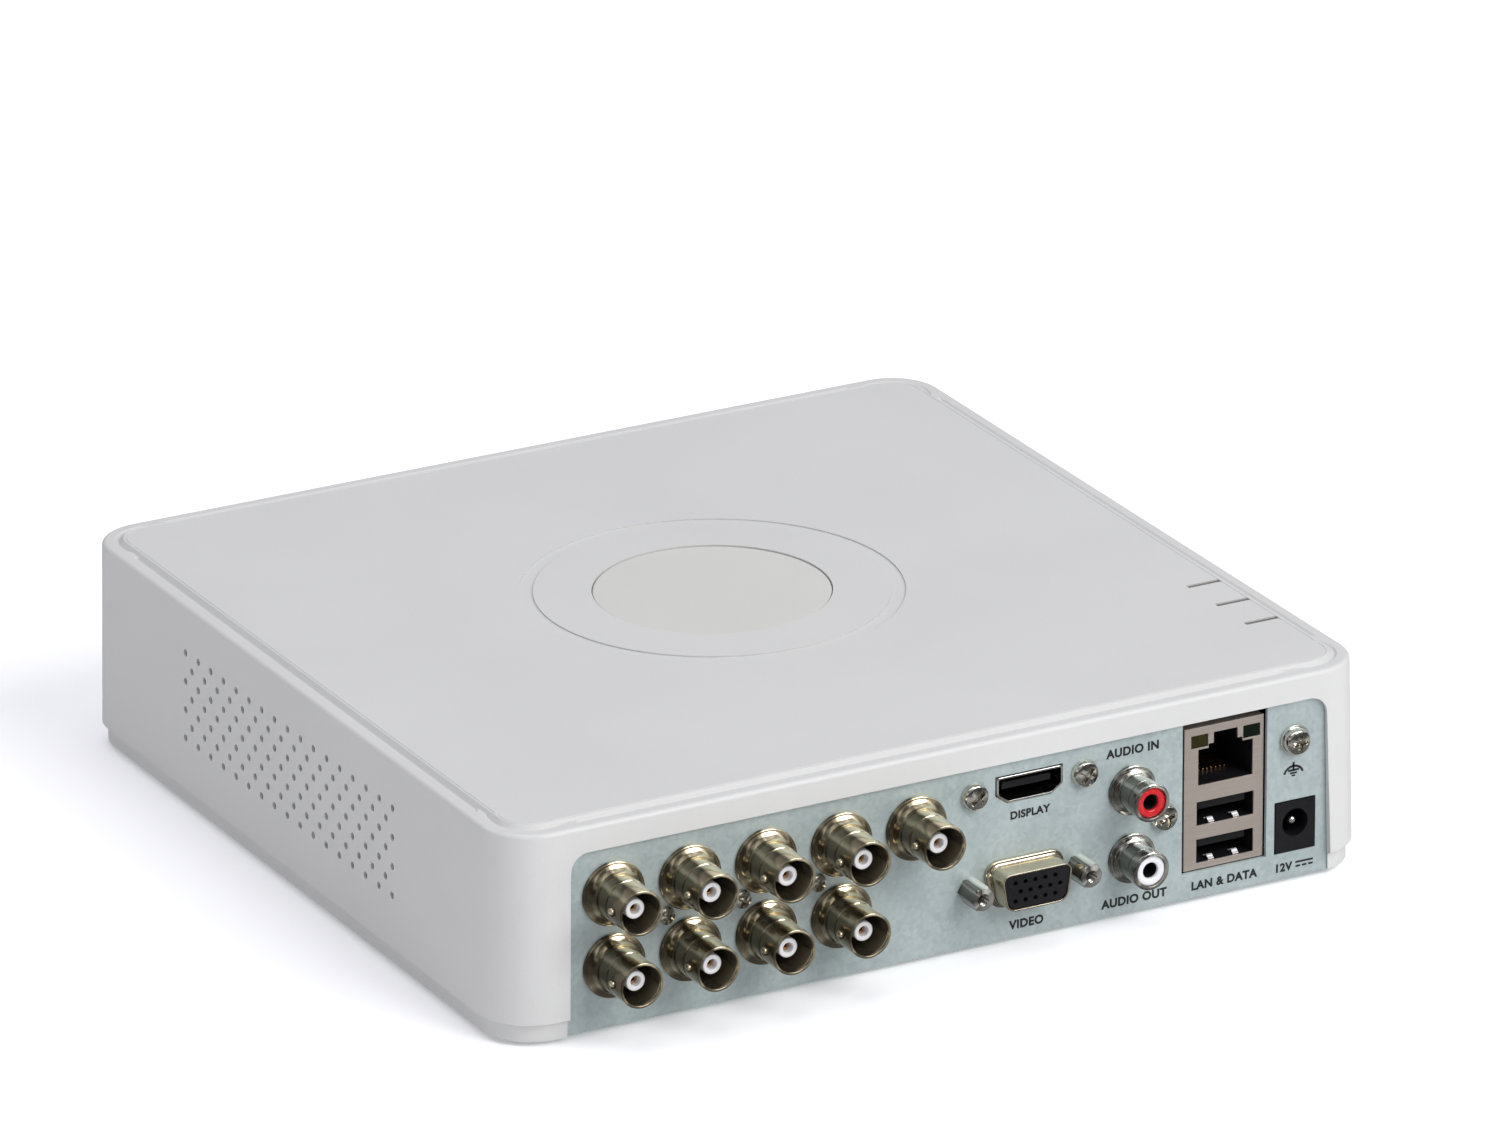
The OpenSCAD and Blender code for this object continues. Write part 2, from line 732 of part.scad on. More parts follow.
module display_tongue() {
    color("black") at_panel(display_at[0], display_at[1]) {
        translate([-5.6, -0.4, -10.5]) cube([11.2, 1.4, 9.3]);
    }
}

module vga_shell() {
    color("silver") at_panel(vga_at[0], vga_at[1]) difference() {
        union() {
            linear_extrude(0.8) d_outline(18.6, 10.4);
            translate([0, 0, -2]) linear_extrude(2) d_outline(16.8, 8.6);
            translate([0, 0, 0.8]) linear_extrude(5.2) d_outline(16.4, 8.2);
        }
        translate([0, 0, -2 - over]) linear_extrude(10) d_outline(15.7, 7.5);
    }
}

module vga_insert() {
    color("black") at_panel(vga_at[0], vga_at[1]) difference() {
        union() {
            translate([0, 0, -2]) linear_extrude(7.8) d_outline(15.6, 7.4);
            translate([-15.5, -6.2, -14]) cube([31, 12.4, 12]);
        }
        for (row = [-1 : 1], i = [-2 : 2])
            translate([i * 2.29 + (row == 0 ? 1.145 : 0) - 0.4, row * 1.98, 1]) cylinder(r = 0.5, h = 6);
        for (side = [-1, 1])
            translate([side * jack_pitch / 2, 0, -12]) cylinder(r = 1.5, h = 12);
    }
}

module vga_jackscrews() {
    color("silver") for (side = [-1, 1])
        at_panel(vga_at[0] + side * jack_pitch / 2, vga_at[1]) difference() {
            union() {
                cylinder(r = 2.75, h = jack_out, $fn = 6);
                translate([0, 0, -8]) cylinder(r = 1.5, h = 8);
            }
            translate([0, 0, jack_out - 5]) cylinder(r = jack_bore_r, h = 5 + over);
        }
}

// ---- audio sockets ----

module audio_shell(h) {
    color("silver") at_panel(audio_u, h) difference() {
        union() {
            cylinder(r = 5.4, h = 0.8);
            translate([0, 0, 0.8]) cylinder(r = 4.7, h = 0.5);
            cylinder(r = audio_r, h = audio_out);
            translate([0, 0, -4]) cylinder(r = audio_r, h = 4);
        }
        translate([0, 0, -4 - over]) cylinder(r = 3.3, h = audio_out + 6);
    }
}

module audio_in_shell() {
    audio_shell(audio_h[1]);
}

module audio_out_shell() {
    audio_shell(audio_h[0]);
}

module audio_insulator(h) {
    at_panel(audio_u, h, -4) tube(3.25, audio_pin_r, audio_out + 3.7);
}

module audio_in_insulator() {
    color("red") audio_insulator(audio_h[1]);
}

module audio_out_insulator() {
    color("white") audio_insulator(audio_h[0]);
}

module audio_contacts() {
    color("gold") for (h = audio_h)
        at_panel(audio_u, h, -9) tube(audio_spring_r, audio_spring_bore, 4.9);
}

module audio_housing() {
    color("black") difference() {
        panel_box([audio_u - 6, board_top, -sheet - 13], [audio_u + 9.5, 34, -sheet]);
        for (h = audio_h) {
            at_panel(audio_u, h, -4.1) cylinder(r = audio_r, h = 6);
            at_panel(audio_u, h, -11) cylinder(r = audio_spring_r, h = 8);
        }
        at_panel(panel_screws_at[5][0], panel_screws_at[5][1], -8) cylinder(r = screw_r, h = 10);
    }
}

// ---- network and data sockets ----

// The openings in the shield's face, as a flat outline in panel coordinates.
module socket_windows() {
    translate([lan_u - lan_w / 2, lan_h[0]]) square([lan_w, lan_h[1] - lan_h[0]]);
    for (step = key_steps)
        translate([lan_u - step[0] / 2, lan_h[0]]) square([step[0], step[1] - lan_h[0]]);
    for (h = usb_h)
        translate([lan_u - usb_size[0] / 2, h]) square(usb_size);
    for (side = [-1, 1])
        translate([lan_u + side * 6.1 - 2, link_h[0]]) square([4, link_h[1] - link_h[0]]);
}

module lan_usb_shield() {
    back = -shield_in - socket_deep - 2;
    color("tan") difference() {
        panel_box([shield_u[0], shield_h[0], back], [shield_u[1], shield_h[1], -shield_in]);
        panel_box([shield_u[0] + 0.4, shield_h[0] - over, back + 0.4],
                  [shield_u[1] - 0.4, shield_h[1] - 0.4, -shield_in - 0.4]);
        at_panel(0, 0, -shield_in - 1) linear_extrude(2) socket_windows();
    }
}

// The plastic block inside the shield, with the two data tongues.
module lan_usb_insert() {
    front = -shield_in - 0.45;
    back = -shield_in - socket_deep - 1.5;
    color("black") {
        difference() {
            panel_box([shield_u[0] + 0.45, shield_h[0] + 0.05, back],
                      [shield_u[1] - 0.45, shield_h[1] - 0.45, front]);
            at_panel(0, 0, front - 14) linear_extrude(15) socket_windows();
        }
        for (h = usb_h)
            panel_box([lan_u - 5.5, h + 2.9, front - 14], [lan_u + 5.5, h + 4.6, front - 1.2]);
    }
}

// Springs of the data sockets and the comb of the network socket.
module lan_usb_contacts() {
    front = -shield_in - 0.45;
    color("gold") {
        for (h = usb_h, i = [-1.5 : 1.5])
            panel_box([lan_u + i * usb_spring_pitch - 0.5, h + 2.6, front - 13],
                      [lan_u + i * usb_spring_pitch + 0.5, h + 2.9, front - 2]);
        for (i = [-3.5 : 3.5])
            panel_box([lan_u + i * lan_spring_pitch - 0.2, lan_h[0], front - 13],
                      [lan_u + i * lan_spring_pitch + 0.2, lan_h[0] + 0.5, front - 6]);
    }
}

module link_lights() {
    color("olive") for (side = [-1, 1])
        panel_box([lan_u + side * 6.1 - 1.95, link_h[0] + 0.05, -shield_in - 8],
                  [lan_u + side * 6.1 + 1.95, link_h[1] - 0.05, -shield_in - 0.1]);
}

// ---- power and ground ----

module power_jack_body() {
    color("black") difference() {
        panel_box([power_at[0] - 4.6, board_top, -13.5], [power_at[0] + 4.7, 16.8, 0.2]);
        at_panel(power_at[0], power_at[1], -9.5) cylinder(r = power_hole_r, h = 12);
        at_panel(power_at[0], power_at[1], -12) cylinder(r = 1.05, h = 4);
    }
}

module power_jack_pin() {
    color("silver") at_panel(power_at[0], power_at[1], -12) {
        cylinder(r = 1, h = 10.5);
        translate([0, 0, 10.5]) sphere(r = 1);
    }
}

module ground_screw() {
    color("silver") at_panel(ground_at[0], ground_at[1], 0.85) pan_screw(2.95, 2.1, ground_r, 6.5);
}

module ground_washer() {
    color("silver") at_panel(ground_at[0], ground_at[1], 0.02) tube(3.3, ground_r + running, 0.8);
}

// ---- hard drive ----

// The casting: open at the top over the platters and the arm, with two turned pins.
module drive_case() {
    l = drive_size[0];
    w = drive_size[1];
    top = drive_size[2] - lid_t;
    color("silver") in_drive() {
        difference() {
            cube([l, w, top]);
            translate([-over, 3, -over]) cube([92, w - 6, 3.7 + over]);
            translate([-over, 9, -over]) cube([7.5, 48, 8.5 + over]);
            translate([platter_at[0], platter_at[1], 8]) cylinder(r = platter_r + 1, h = top);
            translate([9, 6, 8]) cube([50, w - 12, top]);
            for (x = drive_holes_x, side = [-1, 1])
                translate([x, w / 2 + side * drive_hole_pitch / 2, -over]) cylinder(r = 1.5, h = 6);
        }
        for (p = [platter_at, arm_at])
            translate([p[0], p[1], 7.5]) cylinder(r = pin_r, h = top - 8);
    }
}

module drive_lid() {
    l = drive_size[0];
    w = drive_size[1];
    color("gainsboro") in_drive() translate([0, 0, drive_size[2] - lid_t]) difference() {
        cube([l, w, lid_t]);
        for (x = [4, l - 4], y = [4, w - 4])
            translate([x, y, 0.3]) cylinder(r = 2.4, h = lid_t);
        translate([platter_at[0], platter_at[1], 0.5]) tube(30, 26, lid_t);
    }
}

// Two platters on one hub, which turns on the casting's pin.
module drive_platters() {
    color("lightgray") in_drive() translate([platter_at[0], platter_at[1], 0]) difference() {
        union() {
            for (z = platter_z)
                translate([0, 0, z]) cylinder(r = platter_r, h = platter_t);
            translate([0, 0, 8.6]) cylinder(r = 14, h = 12);
        }
        translate([0, 0, 8]) cylinder(r = pin_r + running, h = 14);
    }
}

// At arm_park the heads rest just off the platters' edge.
// The head arm: a bearing block, three thin arms over and between the platters, and its coil.
module drive_arm() {
    arm_l = 46;
    color("gray") in_drive() translate([arm_at[0], arm_at[1], 0]) rotate([0, 0, arm_park]) difference() {
        union() {
            translate([0, 0, 8.6]) cylinder(r = 8, h = 12);
            for (z = [9.6, 13.6, 17.5])
                translate([0, 0, z]) linear_extrude(1) polygon([[0, -6], [arm_l, -1.6], [arm_l + 5, -1.2],
                                                               [arm_l + 5, 1.2], [arm_l, 1.6], [0, 6]]);
            translate([-14, -7, 12.8]) cube([12, 14, 2.4]);
        }
        translate([0, 0, 8]) cylinder(r = pin_r + running, h = 14);
    }
}

// The drive's own circuit board with its edge connector and chips, under the casting.
module drive_board() {
    color("darkgreen") in_drive() {
        translate([2, 6, 1.4]) cube([86, 84, 1.2]);
        translate([0.5, 11, 2.6]) cube([6.5, 44, 5]);
        translate([30, 20, 2.6]) cube([14, 14, 1]);
        translate([56, 56, 2.6]) cube([10, 12, 1]);
    }
}

module drive_screws() {
    color("silver") for (p = drive_screws_at())
        translate([p[0], p[1], base_z + 2.4]) mirror([0, 0, 1]) pan_screw(3.1, 1.9, 1.45, 6);
}

// A flat lead: out of a plug at the drive, round one bend and back along y to the board.
module flat_lead(plug_y, plug_w, run_x) {
    start_x = drive_at[0] - 6;
    end_y = case_y + 18.7;
    low = base_z + cable_h;
    translate([start_x, plug_y - plug_w / 2, base_z + drive_h + 1.2]) cube([6.4, plug_w, 6.2]);
    translate([run_x + lead_bend, plug_y - lead_half_t, low])
        cube([start_x - run_x - lead_bend, 2 * lead_half_t, lead_tall]);
    translate([run_x + lead_bend, plug_y + lead_bend, low]) intersection() {
        tube(lead_bend + lead_half_t, lead_bend - lead_half_t, lead_tall);
        translate([-2 * lead_bend, -2 * lead_bend, 0]) cube([2 * lead_bend, 2 * lead_bend, lead_tall]);
    }
    translate([run_x - lead_half_t, plug_y + lead_bend, low])
        cube([2 * lead_half_t, end_y - plug_y - lead_bend, lead_tall]);
}

module drive_data_cable() {
    color("red") flat_lead(drive_at[1] + 47, 14, -81);
}

module drive_power_cable() {
    color("yellow") flat_lead(drive_at[1] + 26, 22, -85.3);
}

// ---- fan ----

// Places children at the fan's centre, with z along the fan's axis towards +X.
module at_fan() {
    translate([fan_x, fan_y, base_z + fan_h + fan_size / 2]) rotate([0, 90, 0]) children();
}

module fan_frame() {
    half = fan_size / 2;
    color("black") at_fan() {
        difference() {
            translate([-half, -half, 0]) cube([fan_size, fan_size, fan_t]);
            translate([0, 0, -over]) cylinder(r = fan_hole_r, h = fan_t + 2 * over);
            for (sx = [-1, 1], sy = [-1, 1])
                translate([sx * 16, sy * 16, -over]) cylinder(r = 1.8, h = fan_t + 2 * over);
        }
        for (a = [45, 135, 225, 315])
            rotate([0, 0, a]) translate([8, -1, 0]) cube([fan_hole_r - 7.5, 2, 1.2]);
        cylinder(r = fan_hub_r, h = 1.2);
        cylinder(r = 1.5, h = fan_t - 1.5);
    }
}

// Hub and blades, which turn on the frame's spindle.
module fan_rotor() {
    color("black") at_fan() difference() {
        union() {
            translate([0, 0, 1.8]) cylinder(r = fan_hub_r, h = fan_t - 2.8);
            for (i = [0 : fan_blades - 1])
                rotate([0, 0, i * 360 / fan_blades]) translate([fan_hub_r - 1, 0, fan_t / 2 + 0.6])
                    rotate([blade_tilt, 0, 0]) translate([0, -blade_w / 2, -0.5])
                        cube([fan_hole_r - fan_hub_r + 0.2, blade_w, 1]);
        }
        translate([0, 0, 1.8 - over]) cylinder(r = 1.5 + running, h = fan_t);
    }
}

// The fan's lead, from the frame's edge to its socket on the main board.
module fan_lead() {
    color("black") for (i = [0, 1])
        translate([fan_x + 1, fan_y + fan_size / 2, base_z + board_top + 1.6 + 1.6 * i]) rotate([-90, 0, 0])
            cylinder(r = 0.7, h = case_y + 18 - fan_y - fan_size / 2);
}

top_cover();
badge_disc();
light_guides();
base_chassis();
rubber_feet();
case_screws();
panel_screws();
main_board();
board_standoffs();
board_screws();
board_sockets();
processor();
heat_sink();
support_chips();
capacitors();
coin_cell();
buzzer();
status_lights();
for (i = [1 : len(bnc_places)]) bnc_shell(i);
bnc_insulators();
bnc_contacts();
bnc_housings();
display_shell();
display_tongue();
vga_shell();
vga_insert();
vga_jackscrews();
audio_in_shell();
audio_out_shell();
audio_in_insulator();
audio_out_insulator();
audio_contacts();
audio_housing();
lan_usb_shield();
lan_usb_insert();
lan_usb_contacts();
link_lights();
power_jack_body();
power_jack_pin();
ground_screw();
ground_washer();
drive_case();
drive_lid();
drive_platters();
drive_arm();
drive_board();
drive_screws();
drive_data_cable();
drive_power_cable();
fan_frame();
fan_rotor();
fan_lead();
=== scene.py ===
import json
import math

import bmesh
import bpy
import numpy as np
from mathutils import Matrix, Vector


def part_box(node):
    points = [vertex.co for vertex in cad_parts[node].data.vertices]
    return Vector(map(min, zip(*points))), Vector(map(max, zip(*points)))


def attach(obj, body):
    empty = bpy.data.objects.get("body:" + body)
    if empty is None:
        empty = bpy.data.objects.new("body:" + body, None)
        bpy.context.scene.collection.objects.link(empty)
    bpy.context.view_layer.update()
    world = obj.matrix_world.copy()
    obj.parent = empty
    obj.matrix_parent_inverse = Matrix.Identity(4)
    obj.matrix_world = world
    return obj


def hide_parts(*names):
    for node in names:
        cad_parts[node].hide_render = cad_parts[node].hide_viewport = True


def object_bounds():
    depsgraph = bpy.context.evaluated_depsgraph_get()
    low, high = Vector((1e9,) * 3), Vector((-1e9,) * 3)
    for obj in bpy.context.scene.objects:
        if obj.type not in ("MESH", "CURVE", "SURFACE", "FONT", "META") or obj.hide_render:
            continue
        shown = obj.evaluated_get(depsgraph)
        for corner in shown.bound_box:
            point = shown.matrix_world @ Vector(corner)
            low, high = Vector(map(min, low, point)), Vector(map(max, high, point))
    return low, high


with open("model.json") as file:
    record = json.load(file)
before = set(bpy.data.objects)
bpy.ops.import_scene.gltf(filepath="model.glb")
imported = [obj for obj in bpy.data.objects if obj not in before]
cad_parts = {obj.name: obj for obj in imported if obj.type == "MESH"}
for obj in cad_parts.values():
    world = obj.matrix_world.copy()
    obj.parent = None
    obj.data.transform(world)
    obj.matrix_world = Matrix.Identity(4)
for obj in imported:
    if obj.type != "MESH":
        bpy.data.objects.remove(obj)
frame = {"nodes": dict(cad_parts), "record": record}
cad_low, cad_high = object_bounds()

# ---- sizes, in millimetres unless a name says otherwise ----

MM = 0.001
BNC_REACH = 12.3          # camera sockets stand this far out of the panel
AUDIO_REACH = 8.5         # audio sockets stand this far out of the panel
JACK_REACH = 6.0          # monitor jackscrews stand this far out of the panel
MERGE = 1e-6              # vertices closer than this, in metres, are one
SLIVER = MERGE / 10       # edges shorter than this, in metres, are dissolved
SAME_POINT = 1e-5         # outline points closer than this are one
NO_LENGTH = 1e-12         # keeps a row of no length from dividing by nothing
FLAT_WITHIN = 0.4         # degrees: faces this near to flat become one before their edges are eased
EASE_FROM = 40            # degrees: edges sharper than this are eased
EASE_STEPS = 2


def box_mm(node):
    """A node's lowest and highest corners in millimetres."""
    low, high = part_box(node)
    return np.array(low) / MM, np.array(high) / MM


PANEL_Y = box_mm("base_chassis")[1][1]


def centre_on_panel(node):
    """The middle of a node's box, brought to the panel's outer face."""
    low, high = box_mm(node)
    middle = (low + high) / 2
    return np.array([middle[0], PANEL_Y, middle[2]])


# ---- surfaces ----

RIGHT, UP, OUT = np.array([-1.0, 0, 0]), np.array([0, 0, 1.0]), np.array([0, 1.0, 0])
ON_PANEL = (RIGHT, UP, OUT)
UPRIGHT = (np.array([1.0, 0, 0]), np.array([0, 1.0, 0]), np.array([0, 0, 1.0]))


def placed(points, origin, axes=ON_PANEL):
    """Local points moved into the object's frame: origin + x, y and z times the three axes."""
    return np.asarray(origin) + points @ np.array(axes)


def unit_rows(vectors):
    """Each row divided by its own length."""
    return vectors / np.maximum(np.linalg.norm(vectors, axis=1, keepdims=True), NO_LENGTH)


def rounded(corners, steps=5, closed=True):
    """A polygon with rounded corners. Each corner is (x, y, r): the curve leaves its first side r
    before the corner and joins the next side r after it, as a quadratic through the corner."""
    c = np.array(corners, float)
    point, reach = c[:, :2], c[:, 2:3]
    before = np.roll(point, 1, axis=0) - point
    after = np.roll(point, -1, axis=0) - point
    if not closed:
        reach[[0, -1]] = 0
    a = point + unit_rows(before) * reach
    b = point + unit_rows(after) * reach
    t = np.linspace(0, 1, steps)[None, :, None]
    curve = (1 - t) ** 2 * a[:, None] + 2 * t * (1 - t) * point[:, None] + t ** 2 * b[:, None]
    return curve.reshape(-1, 2)


def circle(count=64):
    """A path of no radius with outward normals all round: a profile carried on it is turned."""
    angle = np.linspace(0, 2 * np.pi, count, endpoint=False)
    normals = np.stack([np.cos(angle), np.sin(angle)], axis=1)
    return np.zeros_like(normals), normals


def outline(corners, steps=9):
    """A rounded closed path with its outward normals, from the difference of its neighbours."""
    path = rounded(corners, steps)
    keep = np.linalg.norm(path - np.roll(path, 1, axis=0), axis=1) > SAME_POINT
    path = path[keep]
    along = np.roll(path, -1, axis=0) - np.roll(path, 1, axis=0)
    normals = np.stack([along[:, 1], -along[:, 0]], axis=1)
    return path, unit_rows(normals)


def carried(path, profile):
    """A profile of (out, high) carried along a path: point = path + out times its normal, at high.
    The result is a grid of path by profile points."""
    points, normals = path
    flat = points[:, None] + normals[:, None] * profile[None, :, :1]
    high = np.broadcast_to(profile[None, :, 1:], flat.shape[:2] + (1,))
    return np.concatenate([flat, high], axis=2)


def grid_faces(rows, columns, first, closed):
    """Quads of a grid that closes along its rows, and along its columns if closed."""
    index = first + np.arange(rows * columns).reshape(rows, columns)
    across = np.roll(index, -1, axis=0)
    width = columns if closed else columns - 1
    ahead = np.roll(index, -1, axis=1)
    ahead_across = np.roll(across, -1, axis=1)
    return np.stack([index, across, ahead_across, ahead], axis=2)[:, :width].reshape(-1, 4)


def grid_uv(rows, columns, closed):
    """Each quad corner's share of the way round the path and along the profile."""
    width = columns if closed else columns - 1
    i, j = np.meshgrid(np.arange(rows), np.arange(width), indexing="ij")
    corners = [(i, j), (i + 1, j), (i + 1, j + 1), (i, j + 1)]
    return np.stack([np.stack([a / rows, b / width], axis=2) for a, b in corners], axis=2).reshape(-1, 2)


def smooth_by_angle(mesh, degrees):
    """Shades faces smoothly, except across edges sharper than an angle."""
    mesh.polygons.foreach_set("use_smooth", np.ones(len(mesh.polygons), bool))
    mesh.set_sharp_from_angle(angle=math.radians(degrees))


def piece(name, grids, material, body, replaces=(), closed=True, sharp=40):
    """One object from grids of points in millimetres. Doubles are merged, which closes seams and
    poles, and the faces are then turned outwards."""
    points, faces, shares, first = [], [], [], 0
    for grid in grids:
        rows, columns = grid.shape[:2]
        points.append(grid.reshape(-1, 3))
        faces.append(grid_faces(rows, columns, first, closed))
        shares.append(grid_uv(rows, columns, closed))
        first += rows * columns
    mesh = bpy.data.meshes.new(name)
    mesh.from_pydata(np.concatenate(points) * MM, [], np.concatenate(faces).tolist())
    mesh.uv_layers.new(name="around").data.foreach_set("uv", np.concatenate(shares).ravel())
    return finished(name, mesh, material, body, replaces, sharp)


def finished(name, mesh, material, body, replaces, sharp, flip=True):
    """Merges and turns a mesh's faces out, gives it its material and puts it on its body."""
    work = bmesh.new()
    work.from_mesh(mesh)
    bmesh.ops.remove_doubles(work, verts=work.verts, dist=MERGE)
    bmesh.ops.dissolve_degenerate(work, edges=work.edges, dist=SLIVER)
    if flip:
        bmesh.ops.recalc_face_normals(work, faces=work.faces)
    work.to_mesh(mesh)
    work.free()
    smooth_by_angle(mesh, sharp)
    made = bpy.data.objects.new(name, mesh)
    bpy.context.collection.objects.link(made)
    mesh.materials.clear()
    mesh.materials.append(material)
    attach(made, body)
    if replaces:
        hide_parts(*replaces)
    return made


BODY_OF = {node: body for body, nodes in frame["record"]["behaviour"]["bodies"].items() for node in nodes}


def node_points(node):
    """A node's vertices in metres, one row each."""
    vertices = frame["nodes"][node].data.vertices
    points = np.empty(len(vertices) * 3)
    vertices.foreach_get("co", points)
    return points.reshape(-1, 3)


def eased(node, material, edge=0.12, sharp=35):
    """A merged copy of a node with its edges rounded by edge millimetres and its flats kept flat."""
    source = frame["nodes"][node].data
    source.calc_loop_triangles()
    corners = np.empty(len(source.loop_triangles) * 3, int)
    source.loop_triangles.foreach_get("vertices", corners)
    mesh = bpy.data.meshes.new(node + "_eased")
    mesh.from_pydata(node_points(node), [], corners.reshape(-1, 3).tolist())
    made = finished(node + "_eased", mesh, material, BODY_OF[node], (node,), sharp,
                    flip=False)
    if edge:
        work = bmesh.new()
        work.from_mesh(mesh)
        bmesh.ops.dissolve_limit(work, angle_limit=math.radians(FLAT_WITHIN), verts=work.verts,
                                 edges=work.edges)
        work.to_mesh(mesh)
        work.free()
        smooth_by_angle(mesh, sharp)
        bevel = made.modifiers.new("eased_edges", "BEVEL")
        bevel.width = edge * MM
        bevel.segments = EASE_STEPS
        bevel.limit_method = "ANGLE"
        bevel.angle_limit = math.radians(EASE_FROM)
    normals = made.modifiers.new("flat_faces", "WEIGHTED_NORMAL")
    normals.keep_sharp = not edge
    return made


# ---- material groups ----

def grey(level, warm=0.0):
    """A grey of that linear level, warmer above 0 and cooler below."""
    return (level * (1 + warm), level, level * (1 - warm), 1)


def new_group(name, inputs, outputs):
    """A shader node group with named float or colour sockets, and its input and output nodes."""
    tree = bpy.data.node_groups.new(name, "ShaderNodeTree")
    for label, kind, default in inputs:
        made = tree.interface.new_socket(label, in_out="INPUT", socket_type="NodeSocket" + kind)
        made.default_value = default
    for label, kind in outputs:
        tree.interface.new_socket(label, in_out="OUTPUT", socket_type="NodeSocket" + kind)
    return tree, tree.nodes.new("NodeGroupInput"), tree.nodes.new("NodeGroupOutput")


def noise(tree, coordinates, scale, detail=3.0):
    """A noise texture whose scale is a socket or a number."""
    node = tree.nodes.new("ShaderNodeTexNoise")
    node.inputs["Detail"].default_value = detail
    tree.links.new(coordinates, node.inputs["Vector"])
    if isinstance(scale, (int, float)):
        node.inputs["Scale"].default_value = scale
    else:
        tree.links.new(scale, node.inputs["Scale"])
    return node


def spread(tree, value, low, high):
    """Maps a value from low..high to 0..1."""
    node = tree.nodes.new("ShaderNodeMapRange")
    node.inputs["From Min"].default_value = low
    node.inputs["From Max"].default_value = high
    tree.links.new(value, node.inputs["Value"])
    return node.outputs["Result"]


def math_node(tree, how, a, b):
    """A math node of two sockets or numbers."""
    node = tree.nodes.new("ShaderNodeMath")
    node.operation = how
    for socket, value in zip(node.inputs, (a, b)):
        if isinstance(value, (int, float)):
            socket.default_value = value
        else:
            tree.links.new(value, socket)
    return node.outputs[0]


def tint(tree, mask, a, b):
    """A colour between a and b by the mask."""
    node = tree.nodes.new("ShaderNodeMix")
    node.data_type = "RGBA"
    tree.links.new(mask, node.inputs["Factor"])
    for socket, value in ((node.inputs[6], a), (node.inputs[7], b)):
        if isinstance(value, tuple):
            socket.default_value = value
        else:
            tree.links.new(value, socket)
    return node.outputs[2]


def set_ramp(ramp, stops):
    """Fills a colour ramp with greys from (place, level) pairs."""
    elements = ramp.color_ramp.elements
    while len(elements) < len(stops):
        elements.new(0.5)
    for element, (place, level) in zip(elements, stops):
        element.position = place
        element.color = grey(level)


def build_cast_group():
    """Broad patches over fine speckle: the unevenness of moulded, cast or plated faces."""
    tree, given, result = new_group(
        "surface_cast",
        [("Low", "Color", (0.5, 0.5, 0.5, 1)), ("High", "Color", (0.6, 0.6, 0.6, 1)),
         ("Patch", "Float", 60.0),
         ("Speck", "Float", 1800.0), ("Rough Low", "Float", 0.4), ("Rough High", "Float", 0.5)],
        [("Color", "Color"), ("Roughness", "Float"), ("Height", "Float")])
    where = tree.nodes.new("ShaderNodeTexCoord").outputs["Object"]
    patch = spread(tree, noise(tree, where, given.outputs["Patch"], 4.0).outputs["Fac"], 0.35, 0.65)
    speck = spread(tree, noise(tree, where, given.outputs["Speck"], 2.0).outputs["Fac"], 0.3, 0.7)
    mixed = math_node(tree, "ADD", math_node(tree, "MULTIPLY", patch, 0.5),
                      math_node(tree, "MULTIPLY", speck, 0.5))
    tree.links.new(tint(tree, mixed, given.outputs["Low"], given.outputs["High"]), result.inputs["Color"])
    rough = tree.nodes.new("ShaderNodeMapRange")
    tree.links.new(mixed, rough.inputs["Value"])
    tree.links.new(given.outputs["Rough Low"], rough.inputs["To Min"])
    tree.links.new(given.outputs["Rough High"], rough.inputs["To Max"])
    tree.links.new(rough.outputs["Result"], result.inputs["Roughness"])
    tree.links.new(speck, result.inputs["Height"])
    return tree


def build_brushed_group():
    """Fine parallel scratches: noise stretched along one axis."""
    tree, given, result = new_group("brushed_lines", [("Scale", "Float", 900.0)],
                                    [("Height", "Float"), ("Mask", "Float")])
    mapping = tree.nodes.new("ShaderNodeMapping")
    mapping.inputs["Scale"].default_value = (0.04, 1.0, 1.0)
    tree.links.new(tree.nodes.new("ShaderNodeTexCoord").outputs["Object"], mapping.inputs["Vector"])
    lines = noise(tree, mapping.outputs["Vector"], given.outputs["Scale"], 2.0).outputs["Fac"]
    tree.links.new(lines, result.inputs["Height"])
    tree.links.new(spread(tree, lines, 0.3, 0.7), result.inputs["Mask"])
    return tree


def build_spangle_group():
    """Zinc crystals: cells of slightly different grey, with fine grain over them."""
    tree, given, result = new_group(
        "zinc_spangle", [("Cells", "Float", 700.0)], [("Mask", "Float"), ("Height", "Float")])
    where = tree.nodes.new("ShaderNodeTexCoord").outputs["Object"]
    cells = tree.nodes.new("ShaderNodeTexVoronoi")
    tree.links.new(where, cells.inputs["Vector"])
    tree.links.new(given.outputs["Cells"], cells.inputs["Scale"])
    cell_grey = tree.nodes.new("ShaderNodeRGBToBW")
    tree.links.new(cells.outputs["Color"], cell_grey.inputs["Color"])
    broad = spread(tree, noise(tree, where, 90.0, 5.0).outputs["Fac"], 0.3, 0.7)
    fine = noise(tree, where, 2600.0, 2.0).outputs["Fac"]
    blend = math_node(tree, "ADD", math_node(tree, "MULTIPLY", cell_grey.outputs["Val"], 0.45),
                      math_node(tree, "MULTIPLY", broad, 0.35))
    mask = math_node(tree, "ADD", blend, math_node(tree, "MULTIPLY", fine, 0.2))
    tree.links.new(mask, result.inputs["Mask"])
    tree.links.new(fine, result.inputs["Height"])
    return tree


